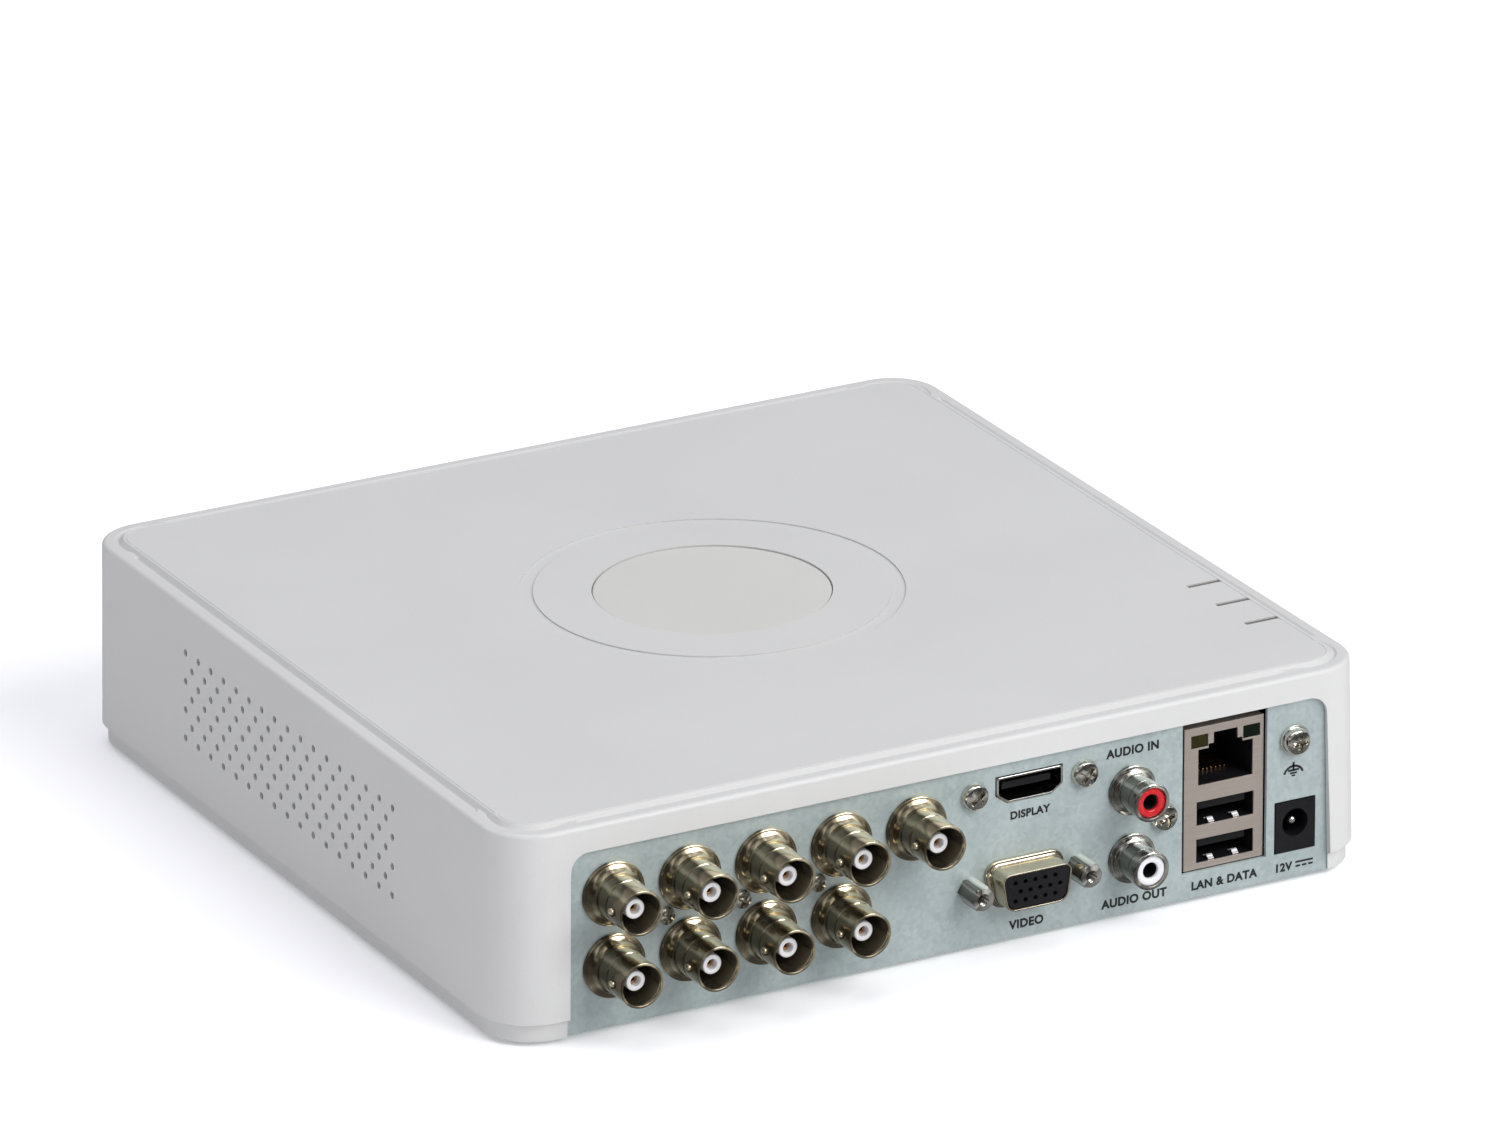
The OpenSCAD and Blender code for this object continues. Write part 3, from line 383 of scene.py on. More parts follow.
def build_tracks_group():
    """Copper tracks under lacquer: wavy bands in two directions, cut into runs by noise."""
    tree, given, result = new_group("board_tracks", [("Scale", "Float", 260.0)],
                                    [("Mask", "Float"), ("Height", "Float")])
    where = tree.nodes.new("ShaderNodeTexCoord").outputs["Object"]
    masks = []
    for direction in ("X", "Y"):
        wave = tree.nodes.new("ShaderNodeTexWave")
        wave.bands_direction = direction
        tree.links.new(where, wave.inputs["Vector"])
        tree.links.new(given.outputs["Scale"], wave.inputs["Scale"])
        masks.append(spread(tree, wave.outputs["Fac"], 0.75, 0.85))
    pick = spread(tree, noise(tree, where, 45.0, 0.0).outputs["Fac"], 0.48, 0.52)
    run = spread(tree, noise(tree, where, 70.0, 1.0).outputs["Fac"], 0.42, 0.46)
    node = tree.nodes.new("ShaderNodeMix")
    tree.links.new(pick, node.inputs["Factor"])
    tree.links.new(masks[0], node.inputs[2])
    tree.links.new(masks[1], node.inputs[3])
    mask = math_node(tree, "MULTIPLY", node.outputs[0], run)
    tree.links.new(mask, result.inputs["Mask"])
    tree.links.new(mask, result.inputs["Height"])
    return tree


# painted reflection bands round the barrel: place, as a share of a turn from its first point, and level
PAINTED_BAND_STOPS = [(0.0, 0.45), (0.12, 0.35), (0.17, 0.85), (0.235, 1.0), (0.285, 0.62), (0.315, 0.06),
              (0.36, 0.16),
              (0.40, 0.42), (0.425, 0.12), (0.52, 0.05), (0.57, 0.25), (0.62, 0.62), (0.66, 0.2),
              (0.8, 0.3), (1.0, 0.45)]


def build_painted_band_group():
    """Painted reflections round a turned shell: a ramp of bands round its axis, painted highlights and
    painted shade in place of reflected light, read from the piece's own map, wavering a little with noise."""
    tree, given, result = new_group(
        "painted_reflection_bands",
        [("Dark", "Color", (0.1, 0.08, 0.05, 1)), ("Bright", "Color", (0.6, 0.5, 0.4, 1)),
         ("Waver", "Float", 0.04)],
        [("Color", "Color"), ("Roughness", "Float")])
    around = tree.nodes.new("ShaderNodeUVMap")
    around.uv_map = "around"
    split = tree.nodes.new("ShaderNodeSeparateXYZ")
    tree.links.new(around.outputs["UV"], split.inputs["Vector"])
    where = tree.nodes.new("ShaderNodeTexCoord").outputs["Object"]
    sway = math_node(tree, "MULTIPLY", noise(tree, where, 240.0, 3.0).outputs["Fac"],
                     given.outputs["Waver"])
    ramp = tree.nodes.new("ShaderNodeValToRGB")
    ramp.color_ramp.interpolation = "EASE"
    tree.links.new(math_node(tree, "ADD", split.outputs["X"], sway), ramp.inputs["Fac"])
    set_ramp(ramp, PAINTED_BAND_STOPS)
    tree.links.new(tint(tree, ramp.outputs["Color"], given.outputs["Dark"], given.outputs["Bright"]),
                   result.inputs["Color"])
    fine = noise(tree, where, 1600.0, 2.0).outputs["Fac"]
    rough = spread(tree, fine, 0.0, 1.0)
    rough.node.inputs["To Min"].default_value = 0.10
    rough.node.inputs["To Max"].default_value = 0.22
    tree.links.new(rough, result.inputs["Roughness"])
    return tree


CAST, BRUSHED, PAINTED_BANDS = build_cast_group(), build_brushed_group(), build_painted_band_group()
SPANGLE, TRACKS = build_spangle_group(), build_tracks_group()


def new_material(name, metallic=0.0, coat=0.0, **constants):
    """A material with its Principled BSDF and that shader's own constants."""
    material = bpy.data.materials.new(name)
    material.use_nodes = True
    tree = material.node_tree
    shader = tree.nodes["Principled BSDF"]
    shader.inputs["Metallic"].default_value = metallic
    shader.inputs["Coat Weight"].default_value = coat
    for label, value in constants.items():
        shader.inputs[label.replace("_", " ")].default_value = value
    return material, tree, shader


def add_bump(tree, shader, height, depth, strength=1.0):
    """Feeds a height, depth metres deep, to the shader's normal."""
    bump = tree.nodes.new("ShaderNodeBump")
    bump.inputs["Distance"].default_value = depth
    bump.inputs["Strength"].default_value = strength
    tree.links.new(height, bump.inputs["Height"])
    tree.links.new(bump.outputs["Normal"], shader.inputs["Normal"])


def cast_material(name, low, high, rough, patch=60.0, speck=1800.0, depth=0.00002, strength=0.4,
                  **shader_values):
    """A moulded, cast or plated surface: colour, roughness and grain all from surface_cast."""
    material, tree, shader = new_material(name, **shader_values)
    group = tree.nodes.new("ShaderNodeGroup")
    group.node_tree = CAST
    for label, value in (("Low", low), ("High", high), ("Patch", patch), ("Speck", speck),
                         ("Rough Low", rough[0]), ("Rough High", rough[1])):
        group.inputs[label].default_value = value
    tree.links.new(group.outputs["Color"], shader.inputs["Base Color"])
    tree.links.new(group.outputs["Roughness"], shader.inputs["Roughness"])
    add_bump(tree, shader, group.outputs["Height"], depth, strength)
    return material


def masked_material(name, group_tree, low, high, rough, scale, depth, strength=0.4, **shader_values):
    """A surface whose colour and roughness follow a group's mask, and whose grain is its height."""
    material, tree, shader = new_material(name, **shader_values)
    group = tree.nodes.new("ShaderNodeGroup")
    group.node_tree = group_tree
    group.inputs[0].default_value = scale
    mask = group.outputs["Mask"]
    tree.links.new(tint(tree, mask, low, high), shader.inputs["Base Color"])
    spread_rough = tree.nodes.new("ShaderNodeMapRange")
    spread_rough.inputs["To Min"].default_value = rough[0]
    spread_rough.inputs["To Max"].default_value = rough[1]
    tree.links.new(mask, spread_rough.inputs["Value"])
    tree.links.new(spread_rough.outputs["Result"], shader.inputs["Roughness"])
    add_bump(tree, shader, group.outputs["Height"], depth, strength)
    return material


COVER = cast_material("cover_plastic", (0.59, 0.59, 0.565, 1), (0.62, 0.62, 0.595, 1), (0.40, 0.52),
                      patch=22.0, speck=2400.0, depth=0.000015, strength=0.25)
BADGE = cast_material("badge_plastic", (0.58, 0.585, 0.53, 1), (0.61, 0.615, 0.56, 1), (0.30, 0.40),
                      patch=40.0,
                      depth=0.00001, strength=0.15)
SMOKED = cast_material("smoked_window", (0.10, 0.09, 0.08, 1), (0.14, 0.12, 0.10, 1), (0.2, 0.35), coat=0.3)
ZINC = masked_material("galvanised_sheet", SPANGLE, (0.33, 0.40, 0.395, 1), (0.52, 0.59, 0.575, 1),
                       (0.40, 0.58), 1100.0,
                       0.00002, metallic=0.25)
NICKEL = cast_material("socket_nickel", (0.42, 0.36, 0.26, 1), (0.66, 0.59, 0.45, 1), (0.14, 0.22),
                       patch=260.0,
                       metallic=1.0, depth=0.000006, strength=0.2)
BRIGHT_NICKEL = cast_material("bright_nickel", (0.66, 0.65, 0.61, 1), (0.76, 0.75, 0.71, 1), (0.12, 0.22),
                              patch=300.0,
                              metallic=1.0, depth=0.000006, strength=0.2)
SHIELD = masked_material("shield_steel", BRUSHED, (0.50, 0.435, 0.385, 1), (0.555, 0.485, 0.43, 1),
                         (0.34, 0.45), 2600.0,
                         0.000008, metallic=0.65)
# The leaves are pale nickel lifted near white and half matt: the metal's own pale tone with a painted glint
# over it.
LEAF = cast_material("leaf_nickel_painted_glint", grey(0.80), grey(0.92), (0.2, 0.3), patch=500.0, metallic=0.4)
SCREW = cast_material("screw_steel", (0.46, 0.44, 0.39, 1), (0.86, 0.84, 0.78, 1), (0.08, 0.16),
                      patch=700.0, metallic=1.0)
BLACK = cast_material("black_plastic", (0.006, 0.006, 0.007, 1), (0.014, 0.014, 0.015, 1), (0.3, 0.42),
                      depth=0.00001,
                      Specular_IOR_Level=0.25)
WHITE = cast_material("white_insulator", grey(0.74), grey(0.80), (0.28, 0.38), depth=0.000008)
RED = cast_material("red_insulator", (0.50, 0.006, 0.012, 1), (0.66, 0.012, 0.02, 1), (0.22, 0.32),
                    coat=0.2)
GOLD = cast_material("gold_contact", (0.50, 0.25, 0.10, 1), (0.68, 0.38, 0.17, 1), (0.22, 0.34),
                     metallic=1.0)
INK = cast_material("panel_ink", (0.008, 0.008, 0.009, 1), (0.02, 0.02, 0.021, 1), (0.45, 0.6))
RUBBER = cast_material("foot_rubber", (0.012, 0.012, 0.012, 1), (0.028, 0.028, 0.028, 1), (0.7, 0.85),
                       speck=2600.0,
                       depth=0.00004, strength=0.6)
BOARD = masked_material("board_lacquer", TRACKS, (0.006, 0.055, 0.022, 1), (0.02, 0.13, 0.05, 1),
                        (0.3, 0.2), 260.0,
                        0.00003, coat=0.4)
BRASS = cast_material("brass", (0.55, 0.38, 0.14, 1), (0.68, 0.50, 0.22, 1), (0.25, 0.38), metallic=1.0)
CHIP = cast_material("chip_plastic", grey(0.012), grey(0.028), (0.5, 0.65), speck=3000.0, depth=0.00002)
FINS = masked_material("heat_sink_aluminium", BRUSHED, grey(0.38, -0.02), grey(0.55, -0.02), (0.35, 0.5),
                       900.0, 0.00001,
                       metallic=0.9)
CANS = masked_material("can_aluminium", BRUSHED, grey(0.60), grey(0.74), (0.25, 0.38), 1400.0, 0.000006,
                       metallic=1.0)
CELL = masked_material("cell_steel", BRUSHED, grey(0.52, 0.01), grey(0.66, 0.01), (0.22, 0.36), 1100.0,
                       0.000006,
                       metallic=1.0)
CASTING = cast_material("drive_casting", grey(0.26, -0.01), grey(0.38, -0.01), (0.42, 0.58), patch=120.0,
                        speck=1500.0,
                        depth=0.00005, strength=0.6, metallic=0.85)
LID = masked_material("drive_lid_steel", BRUSHED, grey(0.50, -0.01), grey(0.62, -0.01), (0.28, 0.4), 700.0,
                      0.00001,
                      metallic=1.0)
MIRROR = cast_material("platter_mirror", grey(0.80), grey(0.86), (0.03, 0.07), patch=30.0, depth=0.000001,
                       strength=0.05,
                       metallic=1.0)
RED_LEAD = masked_material("data_lead", BRUSHED, (0.28, 0.008, 0.01, 1), (0.42, 0.014, 0.018, 1),
                           (0.4, 0.55), 1200.0,
                           0.00003)
BLACK_LEAD = masked_material("power_lead", BRUSHED, grey(0.012), grey(0.03), (0.4, 0.6), 900.0, 0.00006)


def painted_band_material(name, dark, bright, waver=0.04):
    """A plated turned shell: bands of painted highlight and painted shade round it from
    painted_reflection_bands, with a very fine grain.
    """
    material, tree, shader = new_material(name, metallic=0.9)
    group = tree.nodes.new("ShaderNodeGroup")
    group.node_tree = PAINTED_BANDS
    for label, value in (("Dark", dark), ("Bright", bright), ("Waver", waver)):
        group.inputs[label].default_value = value
    tree.links.new(group.outputs["Color"], shader.inputs["Base Color"])
    tree.links.new(group.outputs["Roughness"], shader.inputs["Roughness"])
    add_bump(tree, shader, group.outputs["Roughness"], 0.00001, 0.3)
    return material


# These two carry painted reflections: bright and dark bands round each shell and jackscrew stand in for
# reflected light and shade.
SHELL_NICKEL = painted_band_material("shell_nickel_painted_bands", (0.03, 0.021, 0.01, 1), (1.0, 0.88, 0.62, 1))
AUDIO_NICKEL = painted_band_material("audio_nickel_painted_bands", (0.07, 0.066, 0.055, 1), (0.97, 0.95, 0.88, 1))


def two_tone_lenses():
    """The two network lights: amber-olive on the left and dark green on the right of the socket."""
    low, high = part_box("link_lights")
    material, tree, shader = new_material("link_lenses", Specular_IOR_Level=0.15)
    where = tree.nodes.new("ShaderNodeTexCoord").outputs["Object"]
    split = tree.nodes.new("ShaderNodeSeparateXYZ")
    tree.links.new(where, split.inputs["Vector"])
    side = math_node(tree, "LESS_THAN", split.outputs["X"], (low[0] + high[0]) / 2)
    clouds = noise(tree, where, 900.0, 2.0).outputs["Fac"]
    amber = tint(tree, clouds, (0.014, 0.012, 0.002, 1), (0.035, 0.03, 0.005, 1))
    green = tint(tree, clouds, (0.001, 0.004, 0.002, 1), (0.003, 0.010, 0.005, 1))
    tree.links.new(tint(tree, side, amber, green), shader.inputs["Base Color"])
    tree.links.new(spread(tree, clouds, -1.0, 3.0), shader.inputs["Roughness"])
    return material


LENSES = two_tone_lenses()

# ---- camera sockets ----

BNC_SHELLS = [f"bnc_shell_{i}" for i in range(1, 10)]
BARREL_R = 4.8
BORE_R = 4.1
LUG_BACK = 3.6            # the lugs stand this far behind the mouth
# profiles are corners of (radius, height over the panel, rounding)
BNC_PROFILE = rounded([
    (4.7, -5.0, 0.1), (4.7, 0.0, 0.05), (6.9, 0.0, 0.15), (6.9, 0.8, 0.3), (6.45, 0.9, 0.1),
    (6.35, 0.75, 0.08),
    (5.6, 1.2, 0.3), (4.95, 2.3, 0.5), (4.9, 6.1, 0.06), (4.7, 6.25, 0.04), (4.7, 6.4, 0.04),
    (BARREL_R, 6.55, 0.06),
    (BARREL_R, BNC_REACH, 0.2), (4.3, BNC_REACH, 0.12), (BORE_R, BNC_REACH - 0.4, 0.2),
    (BORE_R, -5.0, 0.1)])
LUG_PROFILE = rounded([(0, -0.6, 0), (0.95, -0.6, 0.05), (0.95, 0.5, 0.3), (0.45, 0.7, 0.2), (0, 0.7, 0)],
                      closed=False)


def bnc_socket(node):
    """Flange, stepped barrel and rim as one turned profile, with a domed lug on either side."""
    origin = centre_on_panel(node)
    grids = [placed(carried(circle(72), BNC_PROFILE), origin)]
    for side in (-1, 1):
        root = origin + RIGHT * side * BARREL_R + OUT * (BNC_REACH - LUG_BACK)
        grids.append(placed(carried(circle(20), LUG_PROFILE), root, (UP, OUT, RIGHT * side)))
    return piece(node + "_turned", grids, SHELL_NICKEL, "base", (node,))


TUBE_PROFILE = rounded([(1.1, 0.4, 0.05), (2.1, 0.4, 0.05), (2.1, 9.5, 0.3), (1.1, 9.5, 0.25)])
COLLAR_PROFILE = rounded([(1.3, -5, 0.05), (4.05, -5, 0.1), (4.05, 1.0, 0.1), (2.05, 1.0, 0.1),
                          (2.05, 0.3, 0.05),
                          (1.3, 0.3, 0.05)])
PIN_PROFILE = rounded([(0.6, 0, 0.05), (1.05, 0, 0.05), (1.05, 7.9, 0.15), (0.6, 7.9, 0.15)])


def turned_set(name, nodes, profile, material, replaces=(), count=40):
    """One piece with the same turned profile at the middle of each node."""
    grids = [placed(carried(circle(count), profile), centre_on_panel(node)) for node in nodes]
    return piece(name, grids, material, "base", replaces)


for shell in BNC_SHELLS:
    bnc_socket(shell)
turned_set("bnc_insulator_tubes", BNC_SHELLS, TUBE_PROFILE, WHITE, ("bnc_insulators",))
# The collars at the bottom of the bores are black: painted shade in the depth of each bore.
turned_set("bnc_collars_painted_shade", BNC_SHELLS, COLLAR_PROFILE, BLACK)
turned_set("bnc_contact_tubes", BNC_SHELLS, PIN_PROFILE, GOLD, ("bnc_contacts",))

# ---- audio sockets ----

AUDIO_PROFILE = rounded([
    (3.3, -4, 0.1), (4.15, -4, 0.1), (4.15, 0, 0.05), (5.4, 0, 0.1), (5.4, 0.75, 0.3), (4.7, 0.85, 0.05),
    (4.7, 1.3, 0.2), (3.95, 1.7, 0.3), (3.95, 5.6, 0.2), (4.15, 6.0, 0.2), (4.15, AUDIO_REACH, 0.5),
    (3.3, AUDIO_REACH, 0.15)])
AUDIO_CORE = rounded([(1.7, -4, 0.05), (3.25, -4, 0.1), (3.25, 8.0, 0.25), (2.5, 8.15, 0.3),
                      (1.7, 7.9, 0.3)])
# Black liners inside the insulators' holes: painted shade that makes each hole read black.
HOLE_SHADE_PROFILE = rounded([(1.5, -3.9, 0.02), (1.69, -3.9, 0.02), (1.69, 7.4, 0.05), (1.5, 7.4, 0.05)])
for side, colour, slot in (("in", RED, "red_insulator"), ("out", WHITE, "white_insulator")):
    shell, core = f"audio_{side}_shell", f"audio_{side}_insulator"
    turned_set(shell + "_turned", [shell], AUDIO_PROFILE, AUDIO_NICKEL, (shell,), 72)
    turned_set(core + "_turned", [shell], AUDIO_CORE, colour, (core,), 64)
turned_set("audio_hole_shade_liners", ["audio_in_shell", "audio_out_shell"], HOLE_SHADE_PROFILE, BLACK)

# ---- display sockets ----

VGA = centre_on_panel("vga_shell")
VGA_W, VGA_H, VGA_CORNER = 15.7, 7.5, 2.0
D_SLANT = 0.16            # each side leans in by this share of the height


def d_corners(width, height, radius):
    """A D-shaped outline: a trapezoid, wider at the top, with rounded corners."""
    slant = height * D_SLANT
    w, h = width / 2, height / 2
    return [(-w + slant, -h, radius), (w - slant, -h, radius), (w, h, radius), (-w, h, radius)]


VGA_PROFILE = rounded([(0.5, -2, 0.05), (0.55, 0, 0.05), (1.45, 0, 0.1), (1.45, 0.8, 0.3), (0.8, 0.95, 0.2),
                       (0.45, 1.3, 0.25), (0.35, JACK_REACH, 0.14), (0.0, JACK_REACH, 0.12),
                       (0.0, -2, 0.05)])
piece("vga_shell_drawn", [placed(carried(outline(d_corners(VGA_W, VGA_H, VGA_CORNER)), VGA_PROFILE), VGA)],
      NICKEL, "base", ("vga_shell",))

DISPLAY = centre_on_panel("display_shell")
DISPLAY_W, DISPLAY_H = 14.4, 4.9
DISPLAY_CUT = DISPLAY_H * 0.32        # the lower corners are cut away to this height
DISPLAY_LEAN = 1.4                    # and this many times as far across
DISPLAY_PROFILE = rounded([(0.0, -10.6, 0.05), (0.4, -10.6, 0.05), (0.4, 0.3, 0.12), (0.0, 0.4, 0.1)])


def display_corners():
    """An oblong with its two lower corners cut off on a slant."""
    w, h = DISPLAY_W / 2, DISPLAY_H / 2
    foot = w - DISPLAY_CUT * DISPLAY_LEAN
    knee = -h + DISPLAY_CUT
    return [(-foot, -h, 0.5), (foot, -h, 0.5), (w, knee, 0.5), (w, h, 0.4), (-w, h, 0.4), (-w, knee, 0.5)]


piece("display_shell_drawn", [placed(carried(outline(display_corners()), DISPLAY_PROFILE), DISPLAY)],
      BRIGHT_NICKEL, "base", ("display_shell",))

JACK_PITCH = 24.99                    # between the two jackscrews
JACK_FLAT = 2.38                      # half the hexagon's width across its flats
JACK_CHAMFER = 0.55                   # radius that the chamfer gains for each millimetre below the tip
JACK_SHANK, JACK_SHANK_R, JACK_POINT_R = 8.0, 1.5, 1.25
JACK_HOLE_FLOOR, JACK_HOLE_MOUTH_R = 1.0, 1.75
THREAD_PITCH, THREAD_R, THREAD_RIDGE = 0.635, 1.42, 0.14


def jackscrew(origin, around=72, rings=24, thread_rings=60):
    """A hexagonal post with a turned chamfer: at each height the radius is the smaller of the
    hexagon's and the chamfer cone's. Its hole carries thread ridges as a cosine of the height."""
    angle = np.linspace(0, 2 * np.pi, around, endpoint=False)[:, None]
    hexagon = JACK_FLAT / np.cos((angle % (np.pi / 3)) - np.pi / 6)
    post = np.linspace(0.2, JACK_REACH, rings)
    no_limit = 9.0
    limit = np.concatenate([[JACK_POINT_R, JACK_SHANK_R, JACK_SHANK_R, JACK_SHANK_R, no_limit],
                            JACK_FLAT + JACK_CHAMFER * (JACK_REACH - post)])
    outer = np.minimum(hexagon, limit[None])
    outer_high = np.concatenate([[-JACK_SHANK, -JACK_SHANK, -0.01, 0, 0], post])
    thread_high = np.linspace(JACK_REACH, JACK_HOLE_FLOOR, thread_rings)
    thread = THREAD_R + THREAD_RIDGE * np.cos(2 * np.pi * thread_high / THREAD_PITCH)
    inner = np.concatenate([[JACK_HOLE_MOUTH_R], thread, [0.0]])
    radius = np.concatenate([np.zeros((around, 1)), outer, np.broadcast_to(inner, (around, len(inner)))],
                            axis=1)
    high = np.concatenate([[-JACK_SHANK], outer_high, [JACK_REACH], thread_high, [JACK_HOLE_FLOOR]])
    grid = np.stack([radius * np.cos(angle), radius * np.sin(angle), np.broadcast_to(high, radius.shape)],
                    axis=2)
    return placed(grid, origin)


# The jackscrews take the painted reflection bands too, round each post.
piece("vga_jackscrews_turned", [jackscrew(VGA + RIGHT * side * JACK_PITCH / 2) for side in (-1, 1)],
      AUDIO_NICKEL, "base", ("vga_jackscrews",), closed=False, sharp=30)

# ---- screws ----

CROWN = 0.35              # the dome falls by this share of its height from middle to edge
EDGE_FROM = 0.82          # the edge turns down from this share of the radius
EDGE_FALL = 0.5           # by this share of the height
CROSS_LONG, CROSS_WIDE = 0.6, 0.12    # half length and half width of an arm, as shares of the radius
CROSS_DEEP = 0.72         # the cross's depth as a share of the height
ARM_FADE, SIDE_FADE = 0.2, 0.12       # the cross rises to the dome over these widths, at ends and sides


def faded(place, full, none):
    """1 where a place is nearer than full, 0 past none, and even between them."""
    return np.clip((none - np.abs(place)) / (none - full), 0, 1)


def pan_head(radius, tall, shank_r, length, rings=40, around=120):
    """A domed head pressed with a tapered cross: the height is the dome's less the cross, whose
    depth falls off smoothly past each arm's half width and half length."""
    angle = np.linspace(0, 2 * np.pi, around, endpoint=False)[:, None]
    r = np.linspace(0, radius, rings)[None]
    edge = np.clip((r / radius - EDGE_FROM) / (1 - EDGE_FROM), 0, 1)
    dome = tall * (1 - CROWN * (r / radius) ** 2) - tall * EDGE_FALL * edge ** 2
    x, y = r * np.cos(angle), r * np.sin(angle)
    arm, width = radius * CROSS_LONG, radius * CROSS_WIDE
    across = faded(x, arm - ARM_FADE, arm) * faded(y, width, width + SIDE_FADE)
    along = faded(y, arm - ARM_FADE, arm) * faded(x, width, width + SIDE_FADE)
    high = dome - np.maximum(across, along) * tall * CROSS_DEEP
    under = np.array([[0.0, 0.0, -length, -length]])
    under_r = np.array([[radius, shank_r, shank_r, 0.0]])
    high = np.concatenate([high, np.broadcast_to(under, (around, 4))], axis=1)
    r = np.broadcast_to(np.concatenate([r, under_r], axis=1), high.shape)
    return np.stack([r * np.cos(angle), r * np.sin(angle), high], axis=2)


def screw_heads(node, gap=2.0):
    """Middle, radius and height of each screw in a node: its vertices are grouped wherever their x
    or z leaves a gap."""
    points = node_points(node) / MM
    order = points[np.argsort(points[:, 0])]
    columns = np.split(order, np.nonzero(np.diff(order[:, 0]) > gap)[0] + 1)
    middles = []
    for column in columns:
        column = column[np.argsort(column[:, 2])]
        for group in np.split(column, np.nonzero(np.diff(column[:, 2]) > gap)[0] + 1):
            low, high = group.min(axis=0), group.max(axis=0)
            middles.append(((low + high) / 2, (high[2] - low[2]) / 2, high[1] - PANEL_Y))
    return middles


SCREW_TURNS = (18, 52, 35, 8, 61, 27)     # degrees that each head happens to be turned
PANEL_SHANK_R, PANEL_SHANK = 1.4, 6.0
GROUND_HEAD_R, GROUND_HEAD_TALL = 2.95, 2.1
GROUND_SHANK_R, GROUND_SHANK = 2.0, 6.5
screw_grids = []
for turn, (middle, radius, tall) in zip(SCREW_TURNS, screw_heads("panel_screws")):
    a = math.radians(turn)
    spun = (RIGHT * math.cos(a) + UP * math.sin(a), UP * math.cos(a) - RIGHT * math.sin(a), OUT)
    root = np.array([middle[0], PANEL_Y, middle[2]])
    screw_grids.append(placed(pan_head(radius, tall, PANEL_SHANK_R, PANEL_SHANK), root, spun))
piece("panel_screws_pressed", screw_grids, SCREW, "base", ("panel_screws",), closed=False,
      sharp=32)

ground_low, ground_high = box_mm("ground_screw")
ground_middle = (ground_low + ground_high) / 2
ground_root = np.array([ground_middle[0], ground_high[1] - GROUND_HEAD_TALL, ground_middle[2]])
ground_head = pan_head(GROUND_HEAD_R, GROUND_HEAD_TALL, GROUND_SHANK_R, GROUND_SHANK)
piece("ground_screw_pressed", [placed(ground_head, ground_root)], SCREW, "ground_screw_body",
      ("ground_screw",), closed=False, sharp=32)

# ---- badge ----

badge_low, badge_high = box_mm("badge_disc")
badge_middle = (badge_low + badge_high) / 2
badge_r = (badge_high[0] - badge_low[0]) / 2
BADGE_EDGE = 1.2          # width of the badge's eased rim
BADGE_PROFILE = rounded([(0, badge_low[2], 0), (badge_r, badge_low[2], 0.05),
                         (badge_r, badge_high[2], 0.35),
                         (badge_r - BADGE_EDGE, badge_high[2], 0.3), (0, badge_high[2], 0)], closed=False)
piece("badge_turned", [placed(carried(circle(128), BADGE_PROFILE), (badge_middle[0], badge_middle[1], 0),
                              UPRIGHT)],
      BADGE, "cover", ("badge_disc",), closed=False)

# ---- spring leaves in the two data sockets ----

DATA_LOW, DATA_HIGH = box_mm("lan_usb_contacts")
SHIELD_FACE_Y = box_mm("lan_usb_shield")[1][1]
LAN_MIDDLE_X = (DATA_LOW[0] + DATA_HIGH[0]) / 2
CONTACT_LIFT, DATA_PITCH = 2.6, 8.2       # contacts above the socket's floor; lower to upper socket
LEAF_ASIDE, LEAF_BACK = 2.9, 0.55         # a leaf from the socket's middle and behind its mouth
LEAF_WIDE, LEAF_LONG, LEAF_THICK = 1.3, 2.2, 0.25
LEAF_BASE, LEAF_HUMP = 0.32, 0.55         # a leaf's lowest and added height
HUMP_REACH = 1.15                         # the hump ends this much sooner than the leaf does


def leaf(middle_x, floor_z, out, rings=26):
    """A bent strip: its height follows one hump of a sine squared along its length."""
    along = np.linspace(0, 1, rings)
    back = out - LEAF_LONG * along
    top = floor_z + LEAF_BASE + LEAF_HUMP * np.sin(np.pi * np.clip(along * HUMP_REACH, 0, 1)) ** 2
    half = LEAF_WIDE / 2
    ring = [(-half, 0.0), (half, 0.0), (half, -LEAF_THICK), (-half, -LEAF_THICK)]
    grid = np.stack([np.stack([np.full(rings, middle_x + dx), back, top + dz], axis=1) for dx, dz in ring])
    ends = grid.mean(axis=0, keepdims=True)[:, [0, -1]]
    caps = np.broadcast_to(ends, (len(ring), 2, 3))
    return np.concatenate([caps[:, :1], grid, caps[:, 1:]], axis=1)


socket_floor = DATA_LOW[2] - CONTACT_LIFT
leaves = [leaf(LAN_MIDDLE_X + side * LEAF_ASIDE, socket_floor + row * DATA_PITCH, SHIELD_FACE_Y - LEAF_BACK)
          for side in (-1, 1) for row in (0, 1)]
# The leaves' near-white finish is partly a painted glint.
piece("data_socket_leaves", leaves, LEAF, "base", closed=False, sharp=30)

# ---- every other piece keeps its own shape, with its edges eased ----

